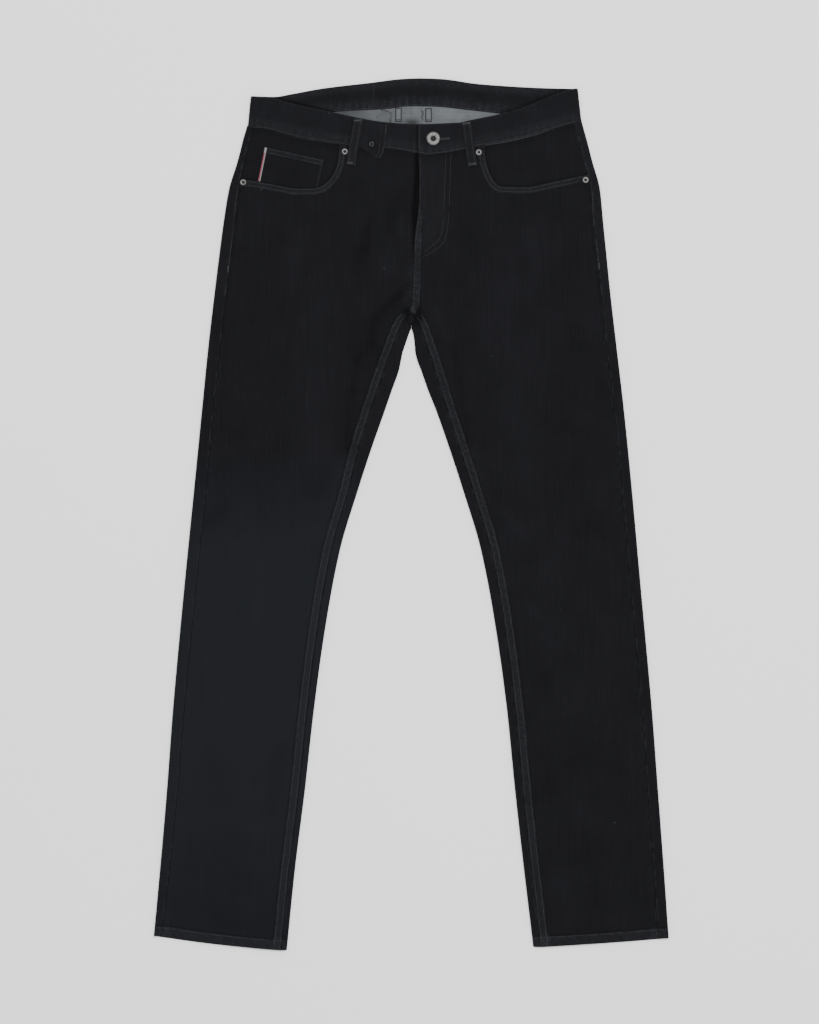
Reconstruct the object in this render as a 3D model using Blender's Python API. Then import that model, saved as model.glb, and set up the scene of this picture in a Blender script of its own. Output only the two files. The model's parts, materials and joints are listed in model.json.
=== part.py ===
"""Selvedge jeans laid flat on their back, built from the pieces that a maker cuts.

The jeans lie on the floor with the waist towards +Y and the hems towards -Y. The wearer's
right leg is on -X. Back panels and yokes lie on the floor and turn up round the side folds
and the inner folds to the seams on top, where the front panels close each leg.
Lengths in this file are millimetres until MM turns them into metres.
"""
import math

import bpy
import numpy as np

MM = 0.001

# Cloth walls and the clearance that parts them at seams
CLOTH = 1.2
BAND = 2.4
TRIM = 1.0
GAP = 0.3

# Heights above the floor
LEG_HEIGHT = 5.3
BAND_HEIGHT = 6.4
UNDERLAY = 2.8
POCKET_LIFT = TRIM + GAP

# Raised seams and hems, as width and height
MOUTH_HEM = (7.6, 0.8)
FLY_STRIP = (9.0, 0.8)
INSEAM_STRIP = (11.0, 0.9)
OUTSEAM_RIDGE = 0.3
LEG_HEM = (12.5, 0.8)
STEP = 1.5

# The lift over the trim on the back, measured inwards from the side fold
LIFT_START = 12.0
LIFT_FULL = 22.0
LIFT_FOOT = 270.0
LIFT_TOP = 281.0

SHARP_DEGREES = 40.0
ARC_TURNS = (0.0, 0.25, 0.5, 0.75, 1.0)
ARC_SHARE = 0.85
FLAT_END = 6.0
SIDES = {"right": -1.0, "left": 1.0}

# The side folds and the outseams, by height on the body
SIDE_COLUMNS = ("y", "right_fold", "right_outseam", "left_outseam", "left_fold")
SIDE_ROWS = (
    (530.0, 203.2, 196.0, 201.0, 212.0),
    (500.0, 206.4, 198.3, 204.3, 215.8),
    (489.0, 209.0, 200.7, 206.7, 218.5),
    (474.0, 213.4, 204.3, 211.8, 222.8),
    (448.6, 219.7, 211.4, 218.4, 229.1),
    (410.6, 231.2, 218.8, 227.5, 239.3),
    (372.5, 237.5, 223.6, 229.7, 243.1),
    (334.5, 242.6, 227.6, 234.2, 246.9),
    (283.8, 248.9, 233.9, 239.6, 252.0),
    (207.7, 257.8, 242.2, 247.0, 260.8),
    (131.6, 265.4, 250.2, 257.0, 269.7),
    (30.2, 275.5, 260.0, 266.6, 279.8),
    (-96.6, 288.2, 273.0, 278.0, 291.3),
    (-248.8, 302.2, 287.8, 291.7, 305.2),
    (-350.2, 309.8, 296.0, 299.3, 312.8),
    (-451.7, 318.6, 306.3, 306.8, 320.4),
    (-536.0, 326.6, 316.4, 312.8, 326.4),
)

# The inner folds and the inseams, by height on the leg
INNER_COLUMNS = ("y", "right_fold", "right_inseam", "left_inseam", "left_fold")
INNER_ROWS = (
    (205.0, 11.0, 27.2, 23.3, 5.0),
    (195.0, 12.9, 30.8, 26.7, 7.4),
    (182.3, 15.6, 35.3, 30.5, 12.3),
    (157.0, 24.5, 44.0, 38.4, 21.2),
    (131.6, 33.3, 52.7, 46.4, 31.3),
    (80.9, 51.1, 68.1, 62.8, 49.1),
    (30.2, 67.6, 80.5, 79.0, 65.6),
    (-45.9, 90.4, 102.0, 101.3, 88.4),
    (-147.3, 109.4, 119.8, 119.4, 107.4),
    (-248.8, 123.4, 132.5, 132.3, 121.3),
    (-350.2, 134.8, 143.0, 141.8, 131.5),
    (-451.7, 147.5, 155.2, 152.8, 142.9),
    (-552.1, 157.8, 165.4, 164.6, 155.2),
)

# The edges of the two fronts along the fly and the rise
CENTRE_COLUMNS = ("y", "right_edge", "left_edge")
CENTRE_ROWS = (
    (460.0, 6.5, 8.5),
    (428.0, 5.5, 9.8),
    (400.0, 3.6, 9.4),
    (379.0, 2.6, 8.2),
    (360.0, 3.2, 5.4),
    (341.0, 3.4, 3.7),
    (324.0, 2.9, 3.2),
    (290.0, 1.7, 2.0),
    (257.5, -0.15, 0.15),
)

# The waistband's edges, by place across the waist
FRONT_TOP = (
    (-203.3, 529.4), (-181.3, 528.2), (-158.9, 522.5), (-132.9, 516.1), (-106.9, 510.4),
    (-84.3, 505.6), (-61.6, 500.7), (-29.3, 495.9), (8.0, 493.8), (60.4, 495.7),
    (75.7, 499.1), (107.9, 505.6), (138.5, 514.4), (172.4, 528.0), (196.2, 536.5),
    (210.1, 538.9),
)
FRONT_LOW = (
    (-207.1, 490.2), (-181.3, 487.0), (-157.1, 480.6), (-132.9, 474.9), (-96.7, 469.5),
    (-63.8, 464.5), (-29.5, 463.0), (5.3, 457.5), (20.0, 455.0), (41.5, 456.9),
    (68.9, 462.6), (90.9, 467.0), (116.3, 471.1), (155.5, 480.4), (180.9, 488.1),
    (214.5, 497.7),
)
BACK_TOP = (
    (-202.9, 529.4), (-173.1, 528.5), (-153.0, 531.8), (-110.1, 539.5), (-51.6, 546.4),
    (-10.5, 551.3), (11.0, 552.1), (36.4, 551.3), (87.6, 544.6), (172.1, 539.5),
    (210.4, 538.6),
)
BACK_LOW = (
    (-207.4, 490.5), (-150.0, 501.5), (-90.4, 510.0), (-33.9, 513.0), (0.0, 516.7),
    (28.5, 516.2), (73.8, 511.6), (150.0, 503.5), (214.9, 497.9),
)
BAND_FOLDS = {"right": (203.3, 207.3), "left": (211.0, 215.6)}
LAP_EDGE = 8.5
LAP_FULL = 45.0
LAP_FOOT = 64.0
UNDERLAP_END = 41.0
BAND_ROWS = (0.0, 0.12, 0.5, 0.88, 1.0)

# The pocket mouths, from the waist seam to the outseam
MOUTHS = {
    "right": ((90.4, 468.2), (93.2, 446.6), (97.3, 433.7), (103.7, 423.9), (113.5, 415.8),
              (126.4, 412.6), (145.8, 412.6), (165.2, 415.8), (192.7, 420.7),
              (208.8, 423.1)),
    "left": ((92.3, 466.8), (94.1, 448.6), (96.0, 441.4), (101.1, 427.8), (111.2, 415.9),
             (123.2, 414.3), (147.0, 414.3), (172.4, 419.3), (197.9, 424.4),
             (216.3, 428.4)),
}
MOUTH_CORNER_Y = {"right": 423.3, "left": 429.6}
MOUTH_ROWS = 12
MOUTH_FOOT_Y = 372.0
CORNER_DROP = 7.5
SEAM_REACH = 40.0

# The yoke seam, as height at the outseam, at the side fold and at the centre back
YOKE_SEAM = {"right": (458.5, 461.0, 451.0), "left": (462.5, 466.0, 451.0)}
YOKE_ROWS = (0.0, 0.33, 0.67, 1.0)

# Rows of a front: outer_y on the outseam and inner_y on the inner edge
FRONT_ROWS = (
    (405.0, 350.0), (366.0, 325.0), (330.0, 300.0), (301.0, 281.0), (273.0, 267.0),
    (261.0, 257.5), (236.0, 243.5), (215.3, 222.0),
)
HEM_Y = {"right": (-534.3, -552.1), "left": (-536.8, -547.6)}

# Rows of a back down to the crotch: outer_y at the side fold and inner_y at the centre
SEAT_ROWS = (
    (451.0, 443.0), (443.0, 435.0), (405.0, 398.0), (366.0, 361.0), (330.0, 326.0),
    (301.0, 297.0), (284.0, 281.0), (273.0, 270.0),
)
# Round the crotch the inner end of each row turns up over the fold to the top
CROTCH_COLUMNS = ("outer_y", "right_fold_x", "left_fold_x", "fold_y", "across", "along",
                  "edge_y", "turn", "seam")
CROTCH_ROWS = (
    (261.0, 0.15, 0.15, 257.0, 0.0, -1.0, 257.0, 0.0, "centre"),
    (247.0, 0.15, 0.15, 242.0, 0.0, -1.0, 242.0, 0.0, "centre"),
    (236.0, 0.15, 0.15, 236.2, 0.0, -1.0, 236.2, 0.5, "centre"),
    (225.5, 2.6, 2.2, 229.5, -0.60, -0.80, 243.0, 1.0, "centre"),
    (215.3, 5.4, 3.6, 221.0, -0.87, -0.50, 257.2, 1.0, "centre"),
    (208.5, 8.2, 4.4, 213.0, -0.95, -0.31, 243.5, 1.0, "inseam"),
)
INSEAM_TOP = {"right": ((257.5, 0.15), (243.5, 11.4)), "left": ((257.5, 0.15), (243.5, 9.2))}
LEG_ROWS = (
    (201.0, 205.0), (184.0, 187.0), (163.0, 165.0), (131.6, 131.6), (98.0, 98.0),
    (55.0, 55.0), (8.0, 8.0), (-45.9, -46.5), (-120.0, -121.5), (-200.0, -203.0),
    (-280.0, -284.0), (-360.0, -366.0), (-440.0, -449.0), (-500.0, -513.0),
)
SEAT_COLUMNS = (0.21, 0.36, 0.52, 0.68, 0.85)

# Back pockets in shares of the seat's width and in height
POCKET_SPAN = (0.21, 0.85)
POCKET_TOP = (441.0, 434.0)
POCKET_CORNER = (302.0, 298.0)
POCKET_POINT = 14.0

# The main folds of the fronts: x0, y0, x1, y1 of a line, its half width and its height
FRONT_FOLDS = (
    (-60.0, 352.0, -66.0, 300.0, 17.0, -0.6),
    (-32.0, 366.0, -36.0, 318.0, 15.0, 0.5),
    (-18.0, 282.0, -47.0, 232.0, 17.0, -0.7),
    (-62.0, 226.0, -84.0, 82.0, 18.0, -0.6),
    (-120.0, 250.0, -118.0, 60.0, 26.0, 0.7),
    (-205.0, 300.0, -190.0, 120.0, 24.0, -0.4),
    (-190.0, -60.0, -215.0, -260.0, 30.0, 0.6),
    (-250.0, -300.0, -225.0, -470.0, 26.0, -0.4),
    (30.0, 330.0, 44.0, 262.0, 16.0, -0.5),
    (60.0, 225.0, 84.0, 94.0, 17.0, -0.6),
    (120.0, 280.0, 132.0, 60.0, 26.0, 0.7),
    (200.0, 250.0, 205.0, 40.0, 25.0, -0.4),
    (170.0, -50.0, 215.0, -240.0, 30.0, 0.5),
    (235.0, -300.0, 240.0, -480.0, 26.0, -0.4),
)
FOLD_LIMIT_Y = (385.0, 340.0)
FLY_SWELL = (28.0, 425.0, 26.0, 45.0, 1.2)

# Pieces that lie between the layers
FACING_FOOT = 398.0
FACING_INNER = 84.0
FACING_RAMP = (15.0, 30.0)
FACING_GRID = (11, 9)
FACING_REACH = 15.0
SHIELD_OUTLINE = (-10.0, 52.0, 324.0, 452.0)
COIN_TOP = ((-186.3, 465.1), (-111.1, 448.6))
COIN_FOOT = (-193.4, -118.0)
STRIPS = {"right_inner_strip": (-19.4, -13.0, 497.0, 514.6),
          "left_inner_strip": (18.6, 25.2, 497.0, 514.2)}

# Loops, tab, rivets and button
LOOP_WIDTH = 12.0
LOOP_THICK = 1.2
RIGHT_LOOP = ((-67.0, 500.4), (-69.9, 484.1), (-72.9, 467.6), (-76.8, 442.3))
LEFT_LOOP = ((69.7, 496.6), (71.8, 482.0), (73.8, 465.1), (77.7, 441.0))
LOOP_STATIONS = (0.0, 0.12, 0.38, 0.58, 0.68, 0.82, 1.0)
BACK_LOOPS = {"right_back_loop": -108.0, "centre_back_loop": 3.0, "left_back_loop": 116.0}
BACK_LOOP_LENGTH = 56.0
# The tab, row by row: y and the places of its left and right edge
TAB_ROWS = (
    (494.0, -65.0, -30.2),
    (482.0, -67.0, -31.4),
    (470.0, -68.5, -32.9),
    (464.0, -64.0, -34.0),
    (457.5, -55.0, -35.4),
    (450.6, -45.5, -39.3),
)
RIVETS = {
    "right_mouth_rivet": (-84.4, 459.2, "bright"),
    "right_side_rivet": (-213.1, 420.2, "bright"),
    "left_mouth_rivet": (85.5, 458.2, "bright"),
    "left_side_rivet": (220.9, 423.2, "bright"),
    "tab_rivet": (-50.5, 468.5, "dull"),
}
RIVET_RADIUS = 4.0
RIVET_HEIGHT = 1.3
BUTTON_PLACE = (27.8, 475.5)
BUTTON_RADIUS = 8.6
BUTTON_HOLE = 3.0
BUTTON_HEIGHT = 3.0

# Finishes: base colour, roughness, metallic
FINISHES = {
    "denim": ((0.012, 0.013, 0.017), 0.82, 0.0),
    "trim": ((0.016, 0.017, 0.021), 0.85, 0.0),
    "grey_tape": ((0.21, 0.22, 0.23), 0.9, 0.0),
    "bright_nickel": ((0.58, 0.58, 0.56), 0.32, 1.0),
    "dull_nickel": ((0.09, 0.09, 0.1), 0.45, 1.0),
}


def clear_scene():
    """Remove whatever the file holds."""
    for item in list(bpy.data.objects):
        bpy.data.objects.remove(item, do_unlink=True)


def make_finishes():
    """Make one material for each finish."""
    made = {}
    for name, (colour, roughness, metallic) in FINISHES.items():
        material = bpy.data.materials.new(name)
        material.use_nodes = True
        shader = material.node_tree.nodes["Principled BSDF"]
        shader.inputs["Base Color"].default_value = (*colour, 1.0)
        shader.inputs["Roughness"].default_value = roughness
        shader.inputs["Metallic"].default_value = metallic
        made[name] = material
    return made


def smooth(table, at):
    """Read a smooth curve through a table of (place, value) pairs, without overshoot."""
    places, values = np.array(sorted(table), float).T
    steps = np.diff(places)
    slopes = np.diff(values) / steps
    tangents = np.concatenate(([slopes[0]], np.zeros(len(slopes) - 1), [slopes[-1]]))
    same = slopes[:-1] * slopes[1:] > 0.0
    mean = 2.0 * slopes[:-1] * slopes[1:] / np.where(same, slopes[:-1] + slopes[1:], 1.0)
    tangents[1:-1] = np.where(same, mean, 0.0)
    at = np.asarray(at, float)
    cell = np.clip(np.searchsorted(places, at) - 1, 0, len(steps) - 1)
    share = (at - places[cell]) / steps[cell]
    inside = np.clip(share, 0.0, 1.0)
    cubic = ((2 * inside**3 - 3 * inside**2 + 1) * values[cell]
             + (inside**3 - 2 * inside**2 + inside) * steps[cell] * tangents[cell]
             + (3 * inside**2 - 2 * inside**3) * values[cell + 1]
             + (inside**3 - inside**2) * steps[cell] * tangents[cell + 1])
    before = np.minimum(share, 0.0) * steps[cell] * tangents[0]
    after = np.maximum(share - 1.0, 0.0) * steps[cell] * tangents[-1]
    return cubic + before + after


def column(rows, names, wanted):
    """Pair one named column of a table with the table's first column."""
    place = names.index(wanted)
    return [(row[0], row[place]) for row in rows]


def ramp(value, start, end):
    """Rise smoothly from 0 at start to 1 at end."""
    share = np.clip((np.asarray(value, float) - start) / (end - start), 0.0, 1.0)
    return share * share * (3.0 - 2.0 * share)


def side_line(side, line, y):
    """Distance from the middle of the side fold or outseam of one side."""
    return smooth(column(SIDE_ROWS, SIDE_COLUMNS, side + "_" + line), y)


def inner_line(side, line, y):
    """Distance from the middle of the inner fold or inseam of one leg."""
    return smooth(column(INNER_ROWS, INNER_COLUMNS, side + "_" + line), y)


def inseam_place(side, y):
    """Place of a leg's inseam, straight between its rows above the leg's own table."""
    first = LEG_ROWS[0][1]
    if y <= first:
        return float(inner_line(side, "inseam", y))
    nodes = INSEAM_TOP[side] + ((first, float(inner_line(side, "inseam", first))),)
    heights, places = zip(*reversed(nodes))
    return float(np.interp(y, heights, places))


def centre_edge(side, y):
    """Place of a front's edge along the fly, measured towards its own side."""
    return SIDES[side] * smooth(column(CENTRE_ROWS, CENTRE_COLUMNS, side + "_edge"), y)


def fold_field(x, y):
    """Height of the fronts' main folds and of the swelling over the fly."""
    x, y = np.asarray(x, float), np.asarray(y, float)
    height = np.zeros(np.broadcast(x, y).shape)
    for x0, y0, x1, y1, half_width, rise in FRONT_FOLDS:
        run_x, run_y = x1 - x0, y1 - y0
        share = ((x - x0) * run_x + (y - y0) * run_y) / (run_x**2 + run_y**2)
        near = np.clip(share, 0.0, 1.0)
        apart = np.hypot(x - x0 - near * run_x, y - y0 - near * run_y)
        height += rise * np.exp(-(apart / half_width) ** 2)
    height *= ramp(y, FOLD_LIMIT_Y[0], FOLD_LIMIT_Y[1])
    swell_x, swell_y, wide, long, rise = FLY_SWELL
    swell = rise * np.exp(-((x - swell_x) / wide) ** 2 - ((y - swell_y) / long) ** 2)
    return height + swell


def back_lift(side, across, y):
    """Height of the back over its pockets and loops, none at the side folds and legs."""
    inwards = side_line(side, "fold", y) - across
    return POCKET_LIFT * ramp(inwards, LIFT_START, LIFT_FULL) * ramp(y, LIFT_FOOT, LIFT_TOP)


def thick_grid(name, outer, inner, finish):
    """Close two grids of points, outside and inside, into one walled solid."""
    rows, columns = outer.shape[:2]
    count = rows * columns
    points = np.concatenate((outer.reshape(-1, 3), inner.reshape(-1, 3))) * MM
    index = np.arange(count).reshape(rows, columns)
    a, b = index[:-1, :-1].ravel(), index[:-1, 1:].ravel()
    c, d = index[1:, 1:].ravel(), index[1:, :-1].ravel()
    outside = np.concatenate((np.stack((a, b, c), 1), np.stack((a, c, d), 1)))
    inside = outside[:, ::-1] + count
    rim = np.concatenate((index[0, :-1], index[:-1, -1], index[-1, :0:-1], index[:0:-1, 0]))
    after = np.roll(rim, -1)
    walls = np.concatenate((np.stack((after, rim, rim + count), 1),
                            np.stack((after, rim + count, after + count), 1)))
    return solid(name, points, np.concatenate((outside, inside, walls)), finish)


def solid(name, points, triangles, finish):
    """Make one named object from points and triangles, faces pointing out."""
    p, q, r = (points[triangles[:, corner]] for corner in range(3))
    if np.einsum("ij,ij->i", p, np.cross(q, r)).sum() < 0.0:
        triangles = triangles[:, ::-1]
    mesh = bpy.data.meshes.new(name)
    mesh.from_pydata(points.tolist(), [], triangles.tolist())
    mesh.shade_smooth()
    mesh.set_sharp_from_angle(angle=math.radians(SHARP_DEGREES))
    mesh.materials.append(finish)
    made = bpy.data.objects.new(name, mesh)
    bpy.context.collection.objects.link(made)
    return made


def flip_side(side, *grids):
    """Turn distances from the middle into places on the wearer's right or left."""
    return [grid * (SIDES[side], 1.0, 1.0) for grid in grids]


def turned_edge(fold, outward, height, wall, turn):
    """Outer and inner point of a wall that turns up round a fold, turn 0 low and 1 on top."""
    radius = height / 2.0
    angle = turn * math.pi
    centre = np.array((fold[0] - outward[0] * radius, fold[1] - outward[1] * radius, radius))
    way = np.array((outward[0] * math.sin(angle), outward[1] * math.sin(angle),
                    -math.cos(angle)))
    return centre + way * radius, centre + way * (radius - wall)


def outer_wrap(side, edge_y, fold_y, hem):
    """Points of one row from the outseam on top, down round the side fold, to the floor."""
    fold = float(side_line(side, "fold", fold_y))
    seam = float(side_line(side, "outseam", edge_y)) + GAP
    pairs = []
    _, under = turned_edge((fold, fold_y), (1.0, 0.0), LEG_HEIGHT, CLOTH, 1.0)
    pairs.append((np.array((seam, edge_y, LEG_HEIGHT)), np.array((seam, edge_y, under[2]))))
    for turn in reversed(ARC_TURNS):
        outer, inner = turned_edge((fold, fold_y), (1.0, 0.0), LEG_HEIGHT, CLOTH, turn)
        height = edge_y + (fold_y - edge_y) * (1.0 - turn / 2.0)
        outer[1], inner[1] = height, height
        pairs.append((outer, inner))
    for rank, (outer, inner) in enumerate(pairs):
        turn = 1.0 if rank == 0 else ARC_TURNS[-rank]
        topness = (1.0 - math.cos(turn * math.pi)) / 2.0
        fold_rise = float(fold_field(SIDES[side] * outer[0], outer[1])) * topness
        outer[2] += fold_rise + hem * topness
        inner[2] += fold_rise
    return pairs


def inner_wrap(side, row, hem):
    """Points of one row from the floor round the inner fold to its seam, or flat to it."""
    radius = LEG_HEIGHT / 2.0
    fold = (row["fold_x"], row["fold_y"])
    outward = (row["across"], row["along"])
    edge = np.array((row["edge_x"], row["edge_y"]))
    pairs = []
    if row["turn"] == 0.0:
        start = edge + np.array((FLAT_END, 0.0))
        for turn in ARC_TURNS:
            flat = start + (edge - start) * turn * ARC_SHARE
            pairs.append((np.array((*flat, 0.0)), np.array((*flat, CLOTH))))
        pairs.append((np.array((*edge, 0.0)), np.array((*edge, CLOTH))))
    else:
        for turn in ARC_TURNS:
            share = turn if row["turn"] == 1.0 else row["turn"] * turn * ARC_SHARE
            pairs.append(turned_edge(fold, outward, LEG_HEIGHT, CLOTH, share))
        if row["turn"] == 1.0:
            pairs.append((np.array((*edge, LEG_HEIGHT)),
                          np.array((*edge, LEG_HEIGHT - CLOTH))))
        else:
            pairs.append(turned_edge(fold, outward, LEG_HEIGHT, CLOTH, row["turn"]))
    for outer, inner in pairs:
        topness = min(max((inner[2] - CLOTH) / (LEG_HEIGHT - 2.0 * CLOTH), 0.0), 1.0)
        fold_rise = float(fold_field(SIDES[side] * outer[0], outer[1])) * topness
        outer[2] += fold_rise + hem * topness
        inner[2] += fold_rise
    return pairs


def floor_points(side, start, end, shares, seam_share=0.0):
    """Points along the floor between two places, or the band's seam, lifted over the trim."""
    pairs = []
    inwards = [LIFT_START, LIFT_FULL]
    width = start[0] - end[0]
    for share in [step / width for step in inwards] + list(shares):
        x = start[0] + (end[0] - start[0]) * share
        y = start[1] + (end[1] - start[1]) * share
        y += (below_band(side, x) - y) * seam_share
        lift = float(back_lift(side, x, y))
        pairs.append((np.array((x, y, lift)), np.array((x, y, lift + CLOTH))))
    return pairs


def below_band(side, x):
    """Where a yoke ends below the waistband's back."""
    return float(smooth(BACK_LOW, SIDES[side] * x)) - 2.0 * GAP


def regular_row(side, inner_y):
    """A leg row whose inner end turns fully round the inner fold to the inseam."""
    return {
        "fold_x": float(inner_line(side, "fold", inner_y)), "fold_y": inner_y,
        "across": -1.0, "along": 0.0,
        "edge_x": float(inner_line(side, "inseam", inner_y)) - GAP, "edge_y": inner_y,
        "turn": 1.0,
    }


def flat_row(inner_y):
    """A seat row whose inner end lies flat at the centre-back seam."""
    return {"fold_x": GAP / 2.0, "fold_y": inner_y, "across": 0.0, "along": -1.0,
            "edge_x": GAP / 2.0, "edge_y": inner_y, "turn": 0.0}


def back_row(side, edge_y, outer_y, row, hem=0.0, seam_share=0.0):
    """All points of one row of a back panel or a yoke, from outseam to inner edge."""
    wrap = outer_wrap(side, edge_y, outer_y, hem)
    turn = inner_wrap(side, row, hem)
    start, end = wrap[-1][0], turn[0][0]
    floor = floor_points(side, start[:2], end[:2], SEAT_COLUMNS, seam_share)
    if row["turn"] == 0.0:
        for outer, inner in turn:
            y = outer[1] + (below_band(side, outer[0]) - outer[1]) * seam_share
            outer[1], inner[1] = y, y
            lift = float(back_lift(side, outer[0], y))
            outer[2] += lift
            inner[2] += lift
    pairs = wrap + floor + turn
    return [pair[0] for pair in pairs], [pair[1] for pair in pairs]


def panel_from_rows(name, side, rows, finish):
    """Close the rows of a wrapped panel into a solid."""
    outer = np.array([row[0] for row in rows])
    inner = np.array([row[1] for row in rows])
    return thick_grid(name, *flip_side(side, outer, inner), finish)


def make_back(side, finish):
    """A back panel: the seat, the turn at the crotch and the leg down to the hem."""
    edge_y, fold_y, centre_y = YOKE_SEAM[side]
    rows = [back_row(side, edge_y - GAP, fold_y - GAP, flat_row(centre_y - GAP))]
    corner_y = mouth_corner(side)[1]
    corner_row = (corner_y, corner_y - CORNER_DROP)
    seat_rows = sorted(SEAT_ROWS + (corner_row,), reverse=True)
    for outer_y, inner_y in seat_rows:
        rows.append(back_row(side, outer_y, outer_y, flat_row(inner_y)))
    for values in CROTCH_ROWS:
        row = dict(zip(CROTCH_COLUMNS, values))
        at_inseam = inseam_place(side, row["edge_y"]) - GAP
        row["edge_x"] = at_inseam if row["seam"] == "inseam" else GAP / 2.0
        row["fold_x"] = row[side + "_fold_x"]
        rows.append(back_row(side, row["outer_y"], row["outer_y"], row))
    for outer_y, inner_y in LEG_ROWS:
        rows.append(back_row(side, outer_y, outer_y, regular_row(side, inner_y)))
    hem_outer, hem_inner = HEM_Y[side]
    width, height = LEG_HEM
    for up, rise in ((width + STEP, 0.0), (width, height), (0.0, height)):
        row = regular_row(side, hem_inner + up)
        rows.append(back_row(side, hem_outer + up, hem_outer + up, row, hem=rise))
    return panel_from_rows(side + "_back", side, rows, finish)


def make_yoke(side, finish):
    """A yoke between the waistband's seam and the yoke seam, turned up at the side."""
    sign = SIDES[side]
    edge_y, fold_y, centre_y = YOKE_SEAM[side]
    fold_x = BAND_FOLDS[side][1]
    seam_x = float(side_line(side, "outseam", 492.0))
    top = (float(smooth(FRONT_LOW, sign * seam_x)) - GAP,
           float(smooth(FRONT_LOW, sign * fold_x)) - GAP - 0.2,
           below_band(side, 0.0))
    rows = []
    for share in YOKE_ROWS:
        heights = [a + (b - a) * share for a, b in zip(top, (edge_y, fold_y, centre_y))]
        rows.append(back_row(side, heights[0], heights[1], flat_row(heights[2]),
                             seam_share=1.0 - share))
    return panel_from_rows(side + "_yoke", side, rows, finish)


def mouth_corner(side):
    """Where a pocket mouth meets the outseam."""
    y = MOUTH_CORNER_Y[side]
    return float(side_line(side, "outseam", y)), y


def mouth_points(side, count):
    """Evenly spread points along a pocket mouth and their inward directions."""
    points = np.array(MOUTHS[side] + (mouth_corner(side),), float)
    lengths = np.concatenate(([0.0], np.cumsum(np.hypot(*np.diff(points, axis=0).T))))
    spread = np.linspace(0.0, lengths[-1], count)
    step = 0.5
    places, inwards = [], []
    for at in spread:
        here = [float(smooth(list(zip(lengths, points[:, axis])), at)) for axis in (0, 1)]
        near = [[float(smooth(list(zip(lengths, points[:, axis])),
                              min(max(at + shift, 0.0), lengths[-1])))
                 for axis in (0, 1)] for shift in (-step, step)]
        along = np.array(near[1]) - np.array(near[0])
        along /= np.hypot(*along)
        places.append(here)
        inwards.append((along[1], -along[0]))
    return np.array(places), np.array(inwards)


def front_boundaries(side):
    """Both ends of each row of a front, and the raised strips that follow them."""
    mouth, inwards = mouth_points(side, MOUTH_ROWS)
    waist_y = float(smooth(FRONT_LOW, SIDES[side] * 7.0)) - GAP
    rows = []
    for rank, (place, inward) in enumerate(zip(mouth, inwards)):
        inner_y = waist_y + (MOUTH_FOOT_Y - waist_y) * rank / (MOUTH_ROWS - 1)
        if rank == 0:
            inward = np.array((-0.99, -0.14))
        if rank == MOUTH_ROWS - 1:
            inward = np.array((-0.25, -0.97))
        rows.append({"outer": place, "outer_way": inward, "outer_strip": MOUTH_HEM,
                     "inner_y": inner_y})
    hem_outer, hem_inner = HEM_Y[side]
    width, _ = LEG_HEM
    hem_rows = tuple((hem_outer + up, hem_inner + up) for up in (width + STEP, width, 0.0))
    for outer_y, inner_y in FRONT_ROWS + LEG_ROWS + hem_rows:
        outer = np.array((float(side_line(side, "outseam", outer_y)), outer_y))
        rows.append({"outer": outer, "outer_way": np.array((-1.0, 0.0)),
                     "outer_strip": (MOUTH_HEM[0], OUTSEAM_RIDGE), "inner_y": inner_y})
    for rank, row in enumerate(rows):
        y = row["inner_y"]
        if y >= CENTRE_ROWS[-1][0]:
            row["inner"] = np.array((float(centre_edge(side, y)), y))
            strip = FLY_STRIP if side == "left" else (FLY_STRIP[0], 0.0)
        else:
            row["inner"] = np.array((inseam_place(side, y), y))
            strip = INSEAM_STRIP
        row["inner_strip"] = strip
        row["hem"] = LEG_HEM[1] if rank >= len(rows) - 2 else 0.0
    return rows


def make_front(side, finish):
    """A front: pocket mouth and outseam outside, fly, rise and inseam inside."""
    outer_grid, inner_grid = [], []
    shares = np.linspace(0.0, 1.0, 7)
    for rank, row in enumerate(front_boundaries(side)):
        start, end = row["outer"], row["inner"]
        across = (start - end) / np.hypot(*(start - end))
        wide_out, high_out = row["outer_strip"]
        wide_in, high_in = row["inner_strip"]
        points = [start, start + row["outer_way"] * wide_out]
        rises = [high_out, high_out]
        foot = start + row["outer_way"] * (wide_out + STEP)
        inner_foot = end + across * (wide_in + STEP)
        for share in shares:
            points.append(foot + (inner_foot - foot) * share)
            rises.append(0.0)
        points += [end + across * wide_in, end]
        rises += [high_in, high_in]
        rises = np.maximum(rises, row["hem"])
        places = np.array(points)
        if rank == 0:
            seam = smooth(FRONT_LOW, SIDES[side] * places[:, 0]) - GAP
            places[:, 1] = np.minimum(seam, places[:, 1] + SEAM_REACH)
        height = fold_field(SIDES[side] * places[:, 0], places[:, 1])
        outer_grid.append(np.column_stack((places, LEG_HEIGHT + height + rises)))
        inner_grid.append(np.column_stack((places, LEG_HEIGHT - CLOTH + height)))
    grids = flip_side(side, np.array(outer_grid), np.array(inner_grid))
    return thick_grid(side + "_front", *grids, finish)


def band_station(x, top_curve, low_curve, base, low_x=None):
    """One column of the waistband at a place across the waist."""
    low_x = x if low_x is None else low_x
    top_y, low_y = float(smooth(top_curve, x)), float(smooth(low_curve, low_x))
    outer, inner = [], []
    for share in BAND_ROWS:
        place = (x + (low_x - x) * share, top_y + (low_y - top_y) * share)
        outer.append((*place, base[0]))
        inner.append((*place, base[1]))
    return outer, inner


def band_fold(side, turn):
    """One column of the waistband on its way round a side fold."""
    sign = SIDES[side]
    top_fold, low_fold = BAND_FOLDS[side]
    top_y = float(smooth(FRONT_TOP, sign * top_fold))
    low_y = float(smooth(FRONT_LOW, sign * low_fold))
    outer, inner = [], []
    for share in BAND_ROWS:
        fold = (top_fold + (low_fold - top_fold) * share, top_y + (low_y - top_y) * share)
        out_point, in_point = turned_edge(fold, (1.0, 0.0), BAND_HEIGHT, BAND, turn)
        outer.append(out_point * (sign, 1.0, 1.0))
        inner.append(in_point * (sign, 1.0, 1.0))
    return outer, inner


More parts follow.
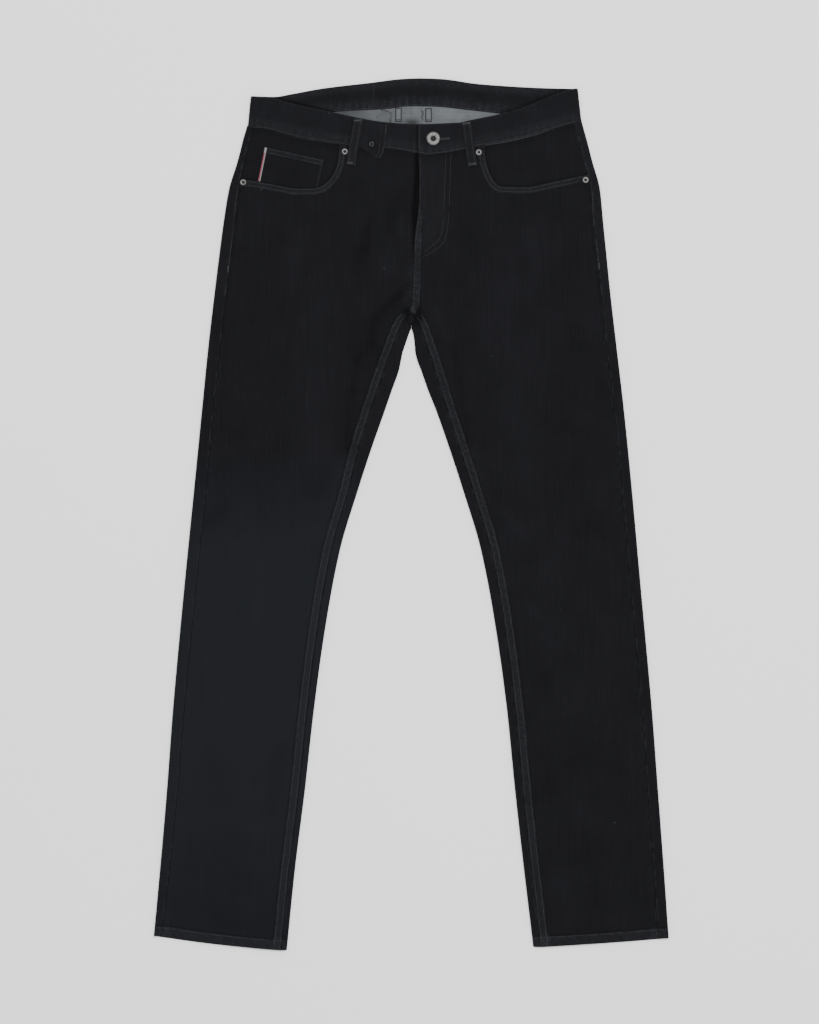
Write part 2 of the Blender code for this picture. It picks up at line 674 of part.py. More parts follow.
def make_waistband(finish):
    """The band, from its right end under the lap, round the back, to its lapped left end."""
    stations = []
    front = (BAND_HEIGHT, BAND_HEIGHT - BAND)
    radius = BAND_HEIGHT / 2.0
    right_top, right_low = (-fold + radius for fold in BAND_FOLDS["right"])
    left_top, left_low = (fold - radius for fold in BAND_FOLDS["left"])
    for share in np.linspace(0.0, 1.0, 15)[:-1]:
        x = UNDERLAP_END + (right_top - UNDERLAP_END) * share
        low_x = UNDERLAP_END + (right_low - UNDERLAP_END) * share
        stations.append(band_station(x, FRONT_TOP, FRONT_LOW, front, low_x))
    stations += [band_fold("right", turn) for turn in reversed(ARC_TURNS)]
    width_top, width_low = left_top - right_top, left_low - right_low
    lifted = [LIFT_START / width_top, LIFT_FULL / width_top]
    inner_shares = np.linspace(0.13, 0.87, 15)
    for share in (*lifted, *inner_shares, 1.0 - lifted[1], 1.0 - lifted[0]):
        x, low_x = right_top + width_top * share, right_low + width_low * share
        outer, inner = band_station(x, BACK_TOP, BACK_LOW, (0.0, BAND), low_x)
        side = "right" if x < 0.0 else "left"
        for points, thick in ((outer, 0.0), (inner, BAND)):
            for rank, (px, py, _) in enumerate(points):
                points[rank] = (px, py, float(back_lift(side, abs(px), py)) + thick)
        stations.append((outer, inner))
    stations += [band_fold("left", turn) for turn in ARC_TURNS]
    places = list(np.linspace(left_top, LAP_FOOT, 10)[1:]) + [58.0, 51.0, LAP_FULL, 27.0,
                                                             LAP_EDGE]
    for x in places:
        low_x = x + (left_low - left_top) * (x - LAP_FOOT) / (left_top - LAP_FOOT)
        low_x = max(x, low_x)
        rise = (BAND + GAP) * float(ramp(x, LAP_FOOT, LAP_FULL))
        base = (front[0] + rise, front[1] + rise)
        stations.append(band_station(x, FRONT_TOP, FRONT_LOW, base, low_x))
    outer = np.array([station[0] for station in stations])
    inner = np.array([station[1] for station in stations])
    return thick_grid("waistband", outer, inner, finish)


def distance_to_front(side, x, y):
    """How far a place above a pocket mouth lies from the mouth, none below it."""
    mouth, inwards = mouth_points(side, 41)
    away = np.stack((x, y)) - mouth[:, :, None, None]
    apart = np.hypot(away[:, 0], away[:, 1])
    nearest = apart.argmin(0)
    below = np.take_along_axis(
        (away * inwards[:, :, None, None]).sum(1), nearest[None], 0)[0] > 0.0
    return np.where(below, 0.0, apart.min(0))


def facing_points(side, columns, rows):
    """Places and heights of a pocket facing, high at the corner and low under the front."""
    down = np.linspace(0.0, 1.0, rows)[:, None]
    across = np.linspace(0.0, 1.0, columns)[None, :]
    top_x = float(side_line(side, "outseam", 488.0)) - GAP
    x_top = top_x + (FACING_INNER - top_x) * across
    top_y = smooth(FRONT_LOW, SIDES[side] * x_top) - 1.5 * GAP
    y = top_y + (FACING_FOOT - top_y) * down
    edge = side_line(side, "outseam", y) - GAP
    x = edge + (FACING_INNER - edge) * across
    rise = (LEG_HEIGHT - TRIM - UNDERLAY) * ramp(distance_to_front(side, x, y), *FACING_RAMP)
    return x, y, UNDERLAY + rise


def make_facing(side, finish):
    """A pocket facing, seen inside the mouth and reaching below the front."""
    x, y, base = facing_points(side, *FACING_GRID)
    outer = np.stack((x, y, base + TRIM), -1)
    inner = np.stack((x, y, base), -1)
    return thick_grid(side + "_facing", *flip_side(side, outer, inner), finish)


def height_on_facing(side, x, y):
    """Top of the facing below a place, from the facing's own grid."""
    grid_x, grid_y, base = facing_points(side, *FACING_GRID)
    near = np.hypot(grid_x - x, grid_y - y) < FACING_REACH
    return float((base[near]).max()) + TRIM


def make_coin_pocket(finish):
    """The coin pocket, lying on the right facing and ending at the pocket mouth."""
    corners = np.array(COIN_TOP, float)
    mouth = mouth_points("right", 60)[0]
    down = np.array((0.0, 0.16, 0.2, 0.6, 1.0))[:, None, None]
    across = np.linspace(0.0, 1.0, 9)[None, :, None]
    top = corners[0] + (corners[1] - corners[0]) * across
    foot_x = COIN_FOOT[0] + (COIN_FOOT[1] - COIN_FOOT[0]) * across
    foot_y = np.interp(-foot_x, mouth[:, 0], mouth[:, 1]) + 3.0 * GAP
    low = np.concatenate((foot_x, foot_y), -1)
    place = top + (low - top) * down
    heights = np.vectorize(lambda x, y: height_on_facing("right", -x, y))(
        place[..., 0], place[..., 1]) + GAP
    hem = np.where(down[..., 0] < 0.18, 0.5, 0.0) + np.zeros_like(heights)
    inner = np.concatenate((place, heights[..., None]), -1)
    outer = np.concatenate((place, (heights + TRIM + hem)[..., None]), -1)
    return thick_grid("coin_pocket", outer, inner, finish)


def flat_plate(name, x_range, y_range, base, thick, finish, counts=(2, 2)):
    """A thin plate on a level base."""
    x, y = np.meshgrid(np.linspace(*x_range, counts[0]), np.linspace(*y_range, counts[1]))
    level = np.full_like(x, base)
    return thick_grid(name, np.stack((x, y, level + thick), -1),
                      np.stack((x, y, level), -1), finish)


def make_back_pocket(side, finish):
    """A five-sided pocket on the floor below the lifted seat."""
    across = np.linspace(0.0, 1.0, 7)
    outer, inner = [], []
    radius = LEG_HEIGHT / 2.0
    for down in np.linspace(0.0, 1.0, 6):
        row_outer, row_inner = [], []
        for share in across:
            seat = POCKET_SPAN[0] + (POCKET_SPAN[1] - POCKET_SPAN[0]) * share
            point = (1.0 - abs(2.0 * share - 1.0)) * POCKET_POINT
            top = POCKET_TOP[0] + (POCKET_TOP[1] - POCKET_TOP[0]) * seat
            low = POCKET_CORNER[0] + (POCKET_CORNER[1] - POCKET_CORNER[0]) * seat - point
            y = top + (low - top) * down
            fold = float(side_line(side, "fold", y)) - radius
            x = fold + (6.0 - fold) * seat
            row_outer.append((x, y, 0.0))
            row_inner.append((x, y, TRIM))
        outer.append(row_outer)
        inner.append(row_inner)
    grids = flip_side(side, np.array(outer), np.array(inner))
    return thick_grid(side + "_back_pocket", *grids, finish)


def strip_along(name, route, stations, half_width, base, thick, finish):
    """A strip of cloth along a route of places, with a height at each station."""
    points = np.array(route, float)
    lengths = np.concatenate(([0.0], np.cumsum(np.hypot(*np.diff(points, axis=0).T))))
    outer, inner = [], []
    for share, level in zip(stations, base):
        at = share * lengths[-1]
        here = np.array([smooth(list(zip(lengths, points[:, axis])), at) for axis in (0, 1)])
        ahead = np.array([smooth(list(zip(lengths, points[:, axis])), at + 1.0)
                          for axis in (0, 1)])
        along = (ahead - here) / np.hypot(*(ahead - here))
        side_way = np.array((along[1], -along[0]))
        row = [here + side_way * half_width * edge for edge in (-1.0, -0.4, 0.4, 1.0)]
        crown = (0.0, 0.25, 0.25, 0.0)
        outer.append([(*place, level + thick + rise) for place, rise in zip(row, crown)])
        inner.append([(*place, level) for place in row])
    return thick_grid(name, np.array(outer), np.array(inner), finish)


def make_front_loops(finish):
    """The two front loops, over the band and down onto the fronts."""
    on_band = BAND_HEIGHT + GAP
    on_front = LEG_HEIGHT + GAP
    over_tab = LOOP_THICK + GAP
    left = (on_band, on_band + 0.4, on_band + 0.8, on_band + 0.4, on_band, on_front + 0.4,
            on_front)
    right = tuple(level + over_tab for level in left)
    strip_along("left_front_loop", LEFT_LOOP, LOOP_STATIONS, LOOP_WIDTH / 2.0, left,
                LOOP_THICK, finish)
    strip_along("right_front_loop", RIGHT_LOOP, LOOP_STATIONS, LOOP_WIDTH / 2.0, right,
                LOOP_THICK, finish)


def make_back_loops(finish):
    """The three back loops, flat on the floor below the band and the yokes."""
    for name, x in BACK_LOOPS.items():
        top = float(smooth(BACK_TOP, x)) - 1.0
        flat_plate(name, (x - LOOP_WIDTH / 2.0, x + LOOP_WIDTH / 2.0),
                   (top - BACK_LOOP_LENGTH, top), 0.0, TRIM, finish)


def make_tab(finish):
    """The riveted tab beside the right front loop, over the band's seam."""
    outer, inner = [], []
    for y, left, right in TAB_ROWS:
        seam = float(smooth(FRONT_LOW, (left + right) / 2.0))
        level = LEG_HEIGHT + (BAND_HEIGHT - LEG_HEIGHT) * float(ramp(y, seam - 9.0, seam - 4.0))
        xs = np.linspace(left, right, 5)
        outer.append([(x, y, level + GAP + LOOP_THICK) for x in xs])
        inner.append([(x, y, level + GAP) for x in xs])
    return thick_grid("rivet_tab", np.array(outer), np.array(inner), finish)


def turned_solid(name, profile, place, base, segments, finish):
    """Turn a profile of (radius, height) about an upright axis. Its ends lie on the axis."""
    angles = np.linspace(0.0, 2.0 * math.pi, segments, endpoint=False)
    radii, heights = np.array(profile, float).T
    rings = [(np.array((*place, base + heights[0])))[None]]
    for radius, height in zip(radii[1:-1], heights[1:-1]):
        ring = np.column_stack((place[0] + radius * np.cos(angles),
                                place[1] + radius * np.sin(angles),
                                np.full(segments, base + height)))
        rings.append(ring)
    rings.append(np.array((*place, base + heights[-1]))[None])
    points = np.concatenate(rings) * MM
    last = len(points) - 1
    turn = np.arange(segments)
    ahead = (turn + 1) % segments
    triangles = [np.stack((np.zeros(segments, int), 1 + turn, 1 + ahead), 1)]
    for ring in range(len(rings) - 3):
        low, high = 1 + ring * segments, 1 + (ring + 1) * segments
        triangles.append(np.stack((low + turn, high + turn, high + ahead), 1))
        triangles.append(np.stack((low + turn, high + ahead, low + ahead), 1))
    edge = 1 + (len(rings) - 3) * segments
    triangles.append(np.stack((np.full(segments, last), edge + ahead, edge + turn), 1))
    return solid(name, points, np.concatenate(triangles), finish)


def turned_ring(name, profile, place, base, segments, finish):
    """Turn a closed profile of (radius, height) about an upright axis into a ring."""
    angles = np.linspace(0.0, 2.0 * math.pi, segments, endpoint=False)
    radii, heights = np.array(profile, float).T
    count = len(radii)
    points = np.array([(place[0] + radius * math.cos(angle),
                        place[1] + radius * math.sin(angle), base + height)
                       for angle in angles for radius, height in zip(radii, heights)]) * MM
    triangles = []
    for step in range(segments):
        ahead = (step + 1) % segments
        for corner in range(count):
            after = (corner + 1) % count
            a, b = step * count + corner, step * count + after
            c, d = ahead * count + after, ahead * count + corner
            triangles += [(a, b, c), (a, c, d)]
    return solid(name, points, np.array(triangles), finish)


def make_rivets(finishes):
    """Five capped rivets: four on the pocket mouths and one on the tab."""
    radius, height = RIVET_RADIUS, RIVET_HEIGHT
    profile = ((0.0, 0.0), (radius, 0.0), (radius, 0.4 * height),
               (0.75 * radius, height), (0.45 * radius, 0.85 * height),
               (0.27 * radius, 0.4 * height), (0.0, 0.4 * height))
    on_mouth = LEG_HEIGHT + MOUTH_HEM[1] + GAP
    on_tab = BAND_HEIGHT + LOOP_THICK + 2.0 * GAP
    for name, (x, y, kind) in RIVETS.items():
        base = on_tab if kind == "dull" else on_mouth
        turned_solid(name, profile, (x, y), base, 16, finishes[kind + "_nickel"])


def make_button(finishes):
    """The waist button, a rounded ring with a hole through its middle."""
    profile = []
    middle = (BUTTON_RADIUS + BUTTON_HOLE) / 2.0
    half = (BUTTON_RADIUS - BUTTON_HOLE) / 2.0
    corners = 10
    for corner in range(corners):
        angle = 2.0 * math.pi * corner / corners
        reach, rise = math.cos(angle), math.sin(angle)
        profile.append((middle + half * math.copysign(abs(reach) ** 0.7, reach),
                        BUTTON_HEIGHT * (0.5 + 0.5 * math.copysign(abs(rise) ** 0.8, rise))))
    base = BAND_HEIGHT + BAND + 2.0 * GAP
    return turned_ring("waist_button", profile, BUTTON_PLACE, base, 22,
                       finishes["bright_nickel"])


def main():
    """Build every piece."""
    clear_scene()
    finishes = make_finishes()
    denim, trim, tape = finishes["denim"], finishes["trim"], finishes["grey_tape"]
    for side in SIDES:
        make_back(side, denim)
        make_yoke(side, denim)
        make_front(side, denim)
        make_facing(side, denim)
        make_back_pocket(side, denim)
    make_waistband(denim)
    make_coin_pocket(denim)
    x0, x1, y0, y1 = SHIELD_OUTLINE
    flat_plate("fly_shield", (x0, x1), (y0, y1), UNDERLAY, TRIM, denim, (5, 7))
    make_front_loops(trim)
    make_back_loops(trim)
    make_tab(trim)
    for name, (x0, x1, y0, y1) in STRIPS.items():
        base = POCKET_LIFT + CLOTH + GAP
        flat_plate(name, (x0, x1), (y0, y1), base, TRIM, tape, (2, 3))
    make_rivets(finishes)
    make_button(finishes)


main()
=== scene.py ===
"""Looks of the selvedge jeans laid flat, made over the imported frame.

Fine cloth shells follow the part's own tables, with rolled edges, folds, creases, roped seams
and sewing. Lengths are millimetres until MM turns them into metres.
"""

import json
import math

import bpy
import numpy as np
from bpy.props import FloatProperty, IntProperty
from mathutils.bvhtree import BVHTree
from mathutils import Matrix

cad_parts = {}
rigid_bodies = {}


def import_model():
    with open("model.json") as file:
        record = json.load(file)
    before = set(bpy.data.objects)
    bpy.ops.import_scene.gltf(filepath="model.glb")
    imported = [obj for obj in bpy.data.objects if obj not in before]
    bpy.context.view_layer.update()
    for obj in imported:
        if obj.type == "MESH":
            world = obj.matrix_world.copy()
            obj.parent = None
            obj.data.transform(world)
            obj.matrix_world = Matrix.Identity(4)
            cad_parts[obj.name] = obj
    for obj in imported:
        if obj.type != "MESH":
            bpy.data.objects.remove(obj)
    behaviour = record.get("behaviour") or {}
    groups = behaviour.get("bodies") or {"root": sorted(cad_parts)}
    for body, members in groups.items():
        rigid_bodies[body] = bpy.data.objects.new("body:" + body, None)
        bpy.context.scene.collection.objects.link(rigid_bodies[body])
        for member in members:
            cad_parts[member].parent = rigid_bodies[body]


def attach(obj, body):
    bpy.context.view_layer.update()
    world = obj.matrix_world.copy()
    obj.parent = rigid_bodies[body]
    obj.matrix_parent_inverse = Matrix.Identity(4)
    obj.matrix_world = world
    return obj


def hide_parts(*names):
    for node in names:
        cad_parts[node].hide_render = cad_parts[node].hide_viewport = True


bl_info = {
    "name": "Selvedge jeans laid flat",
    "version": (1, 0, 0),
    "blender": (4, 5, 0),
    "location": "3D View > Sidebar > Jeans",
    "description": "Makes the cloth, sewing and hardware of a pair of jeans laid flat",
    "category": "Object",
}

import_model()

MM = 0.001

# A distance or height that stands for farther than all
FAR = 99.0

# Cloth walls, gaps and levels
CLOTH = 1.2
BAND = 2.4
TRIM = 1.0
GAP = 0.3
LEG_HEIGHT = 5.3
BAND_HEIGHT = 6.4
UNDERLAY = 2.8
POCKET_LIFT = TRIM + GAP
TUCK = 1.6

# Raised seams and hems, as width and height
MOUTH_HEM = (7.6, 0.8)
FLY_STRIP = (9.0, 0.8)
INSEAM_STRIP = (11.0, 0.9)
OUTSEAM_RIDGE = 0.3
LEG_HEM = (12.5, 0.8)
STEP = 1.5

# The lift over the trim on the back, measured inwards from the side fold
LIFT_START = 12.0
LIFT_FULL = 22.0
LIFT_FOOT = 270.0
LIFT_TOP = 281.0

SIDES = {"right": -1.0, "left": 1.0}

# The side folds and the outseams, by height on the body
SIDE_COLUMNS = ("y", "right_fold", "right_outseam", "left_outseam", "left_fold")
SIDE_ROWS = (
    (530, 203.2, 196, 201, 212),
    (500, 206.4, 198.3, 204.3, 215.8),
    (489, 209, 200.7, 206.7, 218.5),
    (474, 213.4, 204.3, 211.8, 222.8),
    (448.6, 219.7, 211.4, 218.4, 229.1),
    (410.6, 231.2, 218.8, 227.5, 239.3),
    (372.5, 237.5, 223.6, 229.7, 243.1),
    (334.5, 242.6, 227.6, 234.2, 246.9),
    (283.8, 248.9, 233.9, 239.6, 252),
    (207.7, 257.8, 242.2, 247, 260.8),
    (131.6, 265.4, 250.2, 257, 269.7),
    (30.2, 275.5, 260, 266.6, 279.8),
    (-96.6, 288.2, 273, 278, 291.3),
    (-248.8, 302.2, 287.8, 291.7, 305.2),
    (-350.2, 309.8, 296, 299.3, 312.8),
    (-451.7, 318.6, 306.3, 306.8, 320.4),
    (-536, 326.6, 316.4, 312.8, 326.4),
)

# The inner folds and the inseams, by height on the leg
INNER_COLUMNS = ("y", "right_fold", "right_inseam", "left_inseam", "left_fold")
INNER_ROWS = (
    (205, 11, 27.2, 23.3, 5),
    (195, 12.9, 30.8, 26.7, 7.4),
    (182.3, 15.6, 35.3, 30.5, 12.3),
    (157, 24.5, 44, 38.4, 21.2),
    (131.6, 33.3, 52.7, 46.4, 31.3),
    (80.9, 51.1, 68.1, 62.8, 49.1),
    (30.2, 67.6, 80.5, 79, 65.6),
    (-45.9, 90.4, 102, 101.3, 88.4),
    (-147.3, 109.4, 119.8, 119.4, 107.4),
    (-248.8, 123.4, 132.5, 132.3, 121.3),
    (-350.2, 134.8, 143, 141.8, 131.5),
    (-451.7, 147.5, 155.2, 152.8, 142.9),
    (-552.1, 157.8, 165.4, 164.6, 155.2),
)
INSEAM_TOP = {"right": ((257.5, 0.15), (243.5, 11.4)), "left": ((257.5, 0.15), (243.5, 9.2))}

# The edges of the two fronts along the fly and the rise
CENTRE_COLUMNS = ("y", "right_edge", "left_edge")
CENTRE_ROWS = (
    (460, 6.5, 8.5),
    (428, 5.5, 9.8),
    (400, 3.6, 9.4),
    (379, 2.6, 8.2),
    (360, 3.2, 5.4),
    (341, 3.4, 3.7),
    (324, 2.9, 3.2),
    (290, 1.7, 2),
    (257.5, -0.15, 0.15),
)

# The waistband's edges, by place across the waist
FRONT_TOP = (
    (-203.3, 529.4), (-181.3, 528.2), (-158.9, 522.5), (-132.9, 516.1), (-106.9, 510.4),
    (-84.3, 505.6), (-61.6, 500.7), (-29.3, 495.9), (8, 493.8), (60.4, 495.7),
    (75.7, 499.1), (107.9, 505.6), (138.5, 514.4), (172.4, 528), (196.2, 536.5),
    (210.1, 538.9),
)
FRONT_LOW = (
    (-207.1, 490.2), (-181.3, 487), (-157.1, 480.6), (-132.9, 474.9), (-96.7, 469.5),
    (-63.8, 464.5), (-29.5, 463), (5.3, 457.5), (20, 455), (41.5, 456.9),
    (68.9, 462.6), (90.9, 467), (116.3, 471.1), (155.5, 480.4), (180.9, 488.1),
    (214.5, 497.7),
)
BACK_TOP = (
    (-202.9, 529.4), (-173.1, 528.5), (-153, 531.8), (-110.1, 539.5), (-51.6, 546.4),
    (-10.5, 551.3), (11, 552.1), (36.4, 551.3), (87.6, 544.6), (172.1, 539.5),
    (210.4, 538.6),
)
BACK_LOW = (
    (-207.4, 490.5), (-150, 501.5), (-90.4, 510), (-33.9, 513), (0, 516.7),
    (28.5, 516.2), (73.8, 511.6), (150, 503.5), (214.9, 497.9),
)
BAND_FOLDS = {"right": (203.3, 207.3), "left": (211.0, 215.6)}
LAP_EDGE = 8.5
LAP_FULL = 45.0
LAP_FOOT = 64.0
UNDERLAP_END = 41.0

# The pocket mouths, from the waist seam to the outseam
MOUTHS = {
    "right": ((90.4, 468.2), (93.2, 446.6), (97.3, 433.7), (103.7, 423.9), (113.5, 415.8),
              (126.4, 412.6), (145.8, 412.6), (165.2, 415.8), (192.7, 420.7),
              (208.8, 423.1)),
    "left": ((92.3, 466.8), (94.1, 448.6), (96, 441.4), (101.1, 427.8), (111.2, 415.9),
             (123.2, 414.3), (147.0, 414.3), (172.4, 419.3), (197.9, 424.4),
             (216.3, 428.4)),
}
MOUTH_CORNER_Y = {"right": 423.3, "left": 429.6}
MOUTH_ROWS = 12
MOUTH_FOOT_Y = 372.0

# The yoke seam, as height at the outseam, at the side fold and at the centre back
YOKE_SEAM = {"right": (458.5, 461.0, 451.0), "left": (462.5, 466.0, 451.0)}

# Rows of a front and of a back leg: where each ends on the outseam and on the inner edge
FRONT_ROWS = (
    (405, 350), (366, 325), (330, 300), (301, 281), (273, 267),
    (261, 257.5), (236, 243.5), (215.3, 222),
)
HEM_Y = {"right": (-534.3, -552.1), "left": (-536.8, -547.6)}
HEM_BOW = {"right": (0.9, 2.4), "left": (1.3, 1.2)}
SEAT_ROWS = (
    (451, 443), (443, 435), (405, 398), (366, 361), (330, 326),
    (301, 297), (284, 281), (273, 270),
)
# At the crotch: outer y, both folds' x, the fold's y and its way, the inner edge's y, turn
CROTCH_ROWS = (
    (261, 0.15, 0.15, 257, 0, -1, 257, 0),
    (247, 0.15, 0.15, 242, 0, -1, 242, 0),
    (236, 0.15, 0.15, 236.2, 0, -1, 236.2, 0.5),
    (225.5, 2.6, 2.2, 229.5, -0.60, -0.80, 243, 1),
    (215.3, 5.4, 3.6, 221, -0.87, -0.50, 257.2, 1),
    (208.5, 8.2, 4.4, 213, -0.95, -0.31, 243.5, 1),
)
LEG_ROWS = (
    (201, 205), (184, 187), (163, 165), (131.6, 131.6), (98, 98),
    (55, 55), (8, 8), (-45.9, -46.5), (-120, -121.5), (-200, -203),
    (-280, -284), (-360, -366), (-440, -449), (-500, -513),
)

# The bulky crossing of the seams at the crotch: place, stretch, drop, and wear with painted
# highlight
CROTCH_LUMPS = (
    ("crotch_knot", (2.6, 259), (0.85, 1.15), -0.25, 0.85),
    ("crotch_fold", (-0.6, 247), (0.9, 1.35), 0.9, 0),
)

# Painted shade in the hollows round the crossing: place, half width and half length
CROTCH_PITS = ((-5.5, 254.0, 4.6, 8.0), (9.0, 250.0, 4.6, 11.0), (1.0, 246.0, 7.0, 7.0))

# Back pockets in shares of the seat's width and in height
POCKET_SPAN = (0.21, 0.85)
POCKET_TOP = (441.0, 434.0)
POCKET_CORNER = (302.0, 298.0)
POCKET_POINT = 14.0

# The main folds of the fronts, as in the part: a line, its half width and its height
MAIN_FOLDS = (
    (-60, 352, -66, 300, 17, -0.6),
    (-32, 366, -36, 318, 15, 0.5),
    (-18, 282, -47, 232, 17, -0.7),
    (-62, 226, -84, 82, 18, -0.6),
    (-120, 250, -118, 60, 26, 0.7),
    (-205, 300, -190, 120, 24, -0.4),
    (-190, -60, -215, -260, 30, 0.6),
    (-250, -300, -225, -470, 26, -0.4),
    (30, 330, 44, 262, 16, -0.5),
    (60, 225, 84, 94, 17, -0.6),
    (120, 280, 132, 60, 26, 0.7),
    (200, 250, 205, 40, 25, -0.4),
    (170, -50, 215, -240, 30, 0.5),
    (235, -300, 240, -480, 26, -0.4),
)
FOLD_LIMIT_Y = (385.0, 340.0)
FLY_SWELL = (28.0, 425.0, 26.0, 45.0, 1.2)

# Smaller creases that the photo shows on the fronts, in the same columns
CREASES = (
    (-51, 391, -60, 334, 6, -0.55),
    (-24, 399, -31, 358, 5, -0.45),
    (-13, 380, -15, 352, 5, 0.40),
    (-2, 294, -17, 275, 4.5, -0.50),
    (-17, 275, -45, 250, 5.5, -0.55),
    (-47, 246, -50, 216, 5, -0.50),
    (-52, 214, -70, 196, 5.5, -0.45),
    (-70, 194, -75, 158, 5, -0.40),
    (-75, 156, -83, 84, 6, -0.45),
    (-88, 70, -98, 12, 6.5, 0.30),
    (55, 205, 72, 94, 6, -0.45),
    (30, 256, 46, 222, 5, 0.35),
    (78, 80, 95, 22, 6, 0.30),
    (-140, 352, -152, 300, 9, 0.30),
    (150, 356, 160, 296, 9, 0.28),
    (-228, 396, -204, 390, 4.5, -0.35),
    (212, 397, 232, 399, 4, -0.40),
    (208, 376, 232, 379, 4.5, -0.35),
    (-232, 352, -196, 342, 7, 0.25),
    (-120, -20, -150, -52, 9, 0.35),
    (-236, 10, -262, -14, 9, -0.30),
    (-140, -130, -172, -150, 10, 0.28),
    (-228, -190, -262, -176, 9, 0.25),
    (-166, -300, -176, -372, 11, -0.30),
    (-196, -402, -236, -386, 10, 0.24),
    (118, 2, 142, -30, 8, 0.32),
    (226, -12, 256, -30, 9, -0.28),
    (146, -116, 178, -138, 10, 0.30),
    (240, -150, 268, -128, 9, 0.24),
    (160, -282, 172, -352, 11, -0.28),
    (214, -380, 248, -398, 10, 0.26),
    (180, -450, 196, -500, 10, 0.24),
)

# Hollows that lift the underside off the floor, in the same columns
UNDER_HOLLOWS = (
    (-96, 210, -126, 60, 20, 0.5),
    (-214, 232, -220, 90, 16, 0.4),
    (-150, 20, -196, -96, 18, 0.5),
    (-240, -130, -232, -262, 15, 0.35),
    (-178, -240, -206, -398, 17, 0.45),
    (-262, -420, -254, -500, 13, 0.3),
    (94, 190, 122, 40, 19, 0.5),
    (220, 210, 212, 66, 16, 0.35),
    (164, 10, 188, -120, 18, 0.5),
    (246, -90, 250, -230, 15, 0.4),
    (180, -250, 214, -376, 17, 0.4),
    (262, -404, 268, -492, 13, 0.3),
    (-120, 400, -132, 330, 16, 0.3),
    (104, 402, 126, 322, 17, 0.3),
    (-40, 340, -30, 290, 12, 0.25),
    (44, 352, 36, 296, 12, 0.25),
)

# Pieces that lie between the layers
FACING_FOOT = 398.0
FACING_INNER = 84.0
FACING_RAMP = (15.0, 30.0)
SHIELD_OUTLINE = (-10.0, 52.0, 324.0, 457.0)
COIN_TOP = ((-186.3, 465.1), (-111.1, 448.6))
COIN_FOOT = (-195.2, -118.0)
STRIPS = {"right_inner_strip": (-19.4, -13.0, 497.0, 514.6),
          "left_inner_strip": (18.6, 25.2, 497.0, 514.2)}

# Painted shade on the yokes' wrong side, as a share by place across: darkest at the left
PAINTED_INSIDE_SHADE = ((-100.0, 0.7), (-72.0, 0.6), (-56.0, 0.42), (-3.0, 0.22), (36.0, 0.0),
                (68.0, 0.12), (110.0, 0.3))
# Overcast edges and thread ends on the yokes' wrong side: a width, then places
YOKE_MARKS = {
    "right": ((2.2, (-26.6, 509), (-25.2, 504), (-26.8, 499.5), (-25.6, 496)),
              (1.2, (-38.4, 512), (-33, 511), (-28.3, 509.4)),
              (0.9, (-41.6, 505.4), (-42.9, 503.4), (-44.2, 501.9))),
    "left": ((2, (13.2, 511.6), (14.8, 507), (13.4, 503), (14.6, 499)),
             (1.0, (27.8, 508.0), (27.4, 503.0), (27.9, 499.0))),
}

# Loops, tab, rivets and button
LOOP_WIDTH = 12.0
LOOP_THICK = 1.2
FRONT_LOOPS = {
    "right_front_loop": ((-67.0, 500.4), (-69.9, 484.1), (-72.9, 467.6), (-76.8, 442.3)),
    "left_front_loop": ((69.7, 496.6), (71.8, 482.0), (73.8, 465.1), (77.7, 441.0)),
}
LOOP_LEVELS = ((0.0, 0.0), (0.12, 0.4), (0.38, 0.8), (0.58, 0.4), (0.68, 0.0),
               (0.82, -0.7), (1.0, -1.1))
BACK_LOOPS = {"right_back_loop": -108.0, "centre_back_loop": 3.0, "left_back_loop": 116.0}
BACK_LOOP_LENGTH = 56.0
TAB_ROWS = (
    (494.0, -65.0, -30.2),
    (482.0, -67.0, -31.4),
    (470.0, -68.5, -32.9),
    (464.0, -64.0, -34.0),
    (457.5, -55.0, -35.4),
    (450.6, -45.5, -39.3),
)
RIVETS = {
    "right_mouth_rivet": (-84.4, 459.2, "bright"),
    "right_side_rivet": (-213.1, 420.2, "bright"),
    "left_mouth_rivet": (85.5, 458.2, "bright"),
    "left_side_rivet": (220.9, 423.2, "bright"),
    "tab_rivet": (-50.5, 468.5, "dull"),
}
BUTTON_PLACE = (27.8, 475.5)
BUTTON_RADIUS = 9.0
BUTTON_HOLE = 3.0
BUTTON_HEIGHT = 3.0

# Profiles of turned pieces, as radius and height
LUMP_PROFILE = ((0.0, -1.6), (3.4, -1.6), (4.7, -1.3), (5.1, -0.6), (4.9, 0.2), (4.2, 0.8),
                (3.2, 1.15), (2.0, 1.3), (0.9, 1.34), (0.0, 1.35))
POST_PROFILE = ((0.0, -0.3), (2.0, -0.3), (3.0, -0.3), (3.2, 0.2), (3.0, 0.7), (2.3, 0.95),
                (1.7, 0.8), (1.2, 0.6), (0.6, 0.5), (0.0, 0.5))
CAP_PROFILE = ((0.0, 0.0), (3.85, 0.0), (4.2, 0.18), (4.25, 0.5), (4.1, 0.85), (3.6, 1.15),
               (2.8, 1.27), (2.1, 1.2), (1.5, 0.95), (1.1, 0.6), (0.8, 0.42), (0.0, 0.4))
PIN_PROFILE = ((0.0, 0.3), (1.3, 0.3), (1.62, 0.55), (1.6, 0.9), (1.3, 1.02), (0.9, 0.9),
               (0.5, 0.72), (0.0, 0.7))

# Sewing: rows from a mouth's or hem's edge, rows on a loop, the two rows of the fly's curve
HEM_STITCHES = (1.6, 6.2)
LOOP_STITCHES = (-3.6, 3.6)
FLY_ROUTES = (
    ((50.3, 456.0), (47.8, 387.8), (46.0, 362.4), (41.2, 345.1), (29.8, 333.9), (14.5, 325.0)),
    ((44.0, 456.0), (41.2, 387.8), (39.6, 362.4), (35.8, 349.0), (26.0, 339.5), (15.3, 331.5)),
)
BUTTONHOLE = ((1.3, ((31.0, 473.85), (47.2, 474.85))), (1.3, ((31.0, 475.35), (47.2, 476.35))),
              (1.4, ((47.4, 477.2), (47.9, 474.0))))

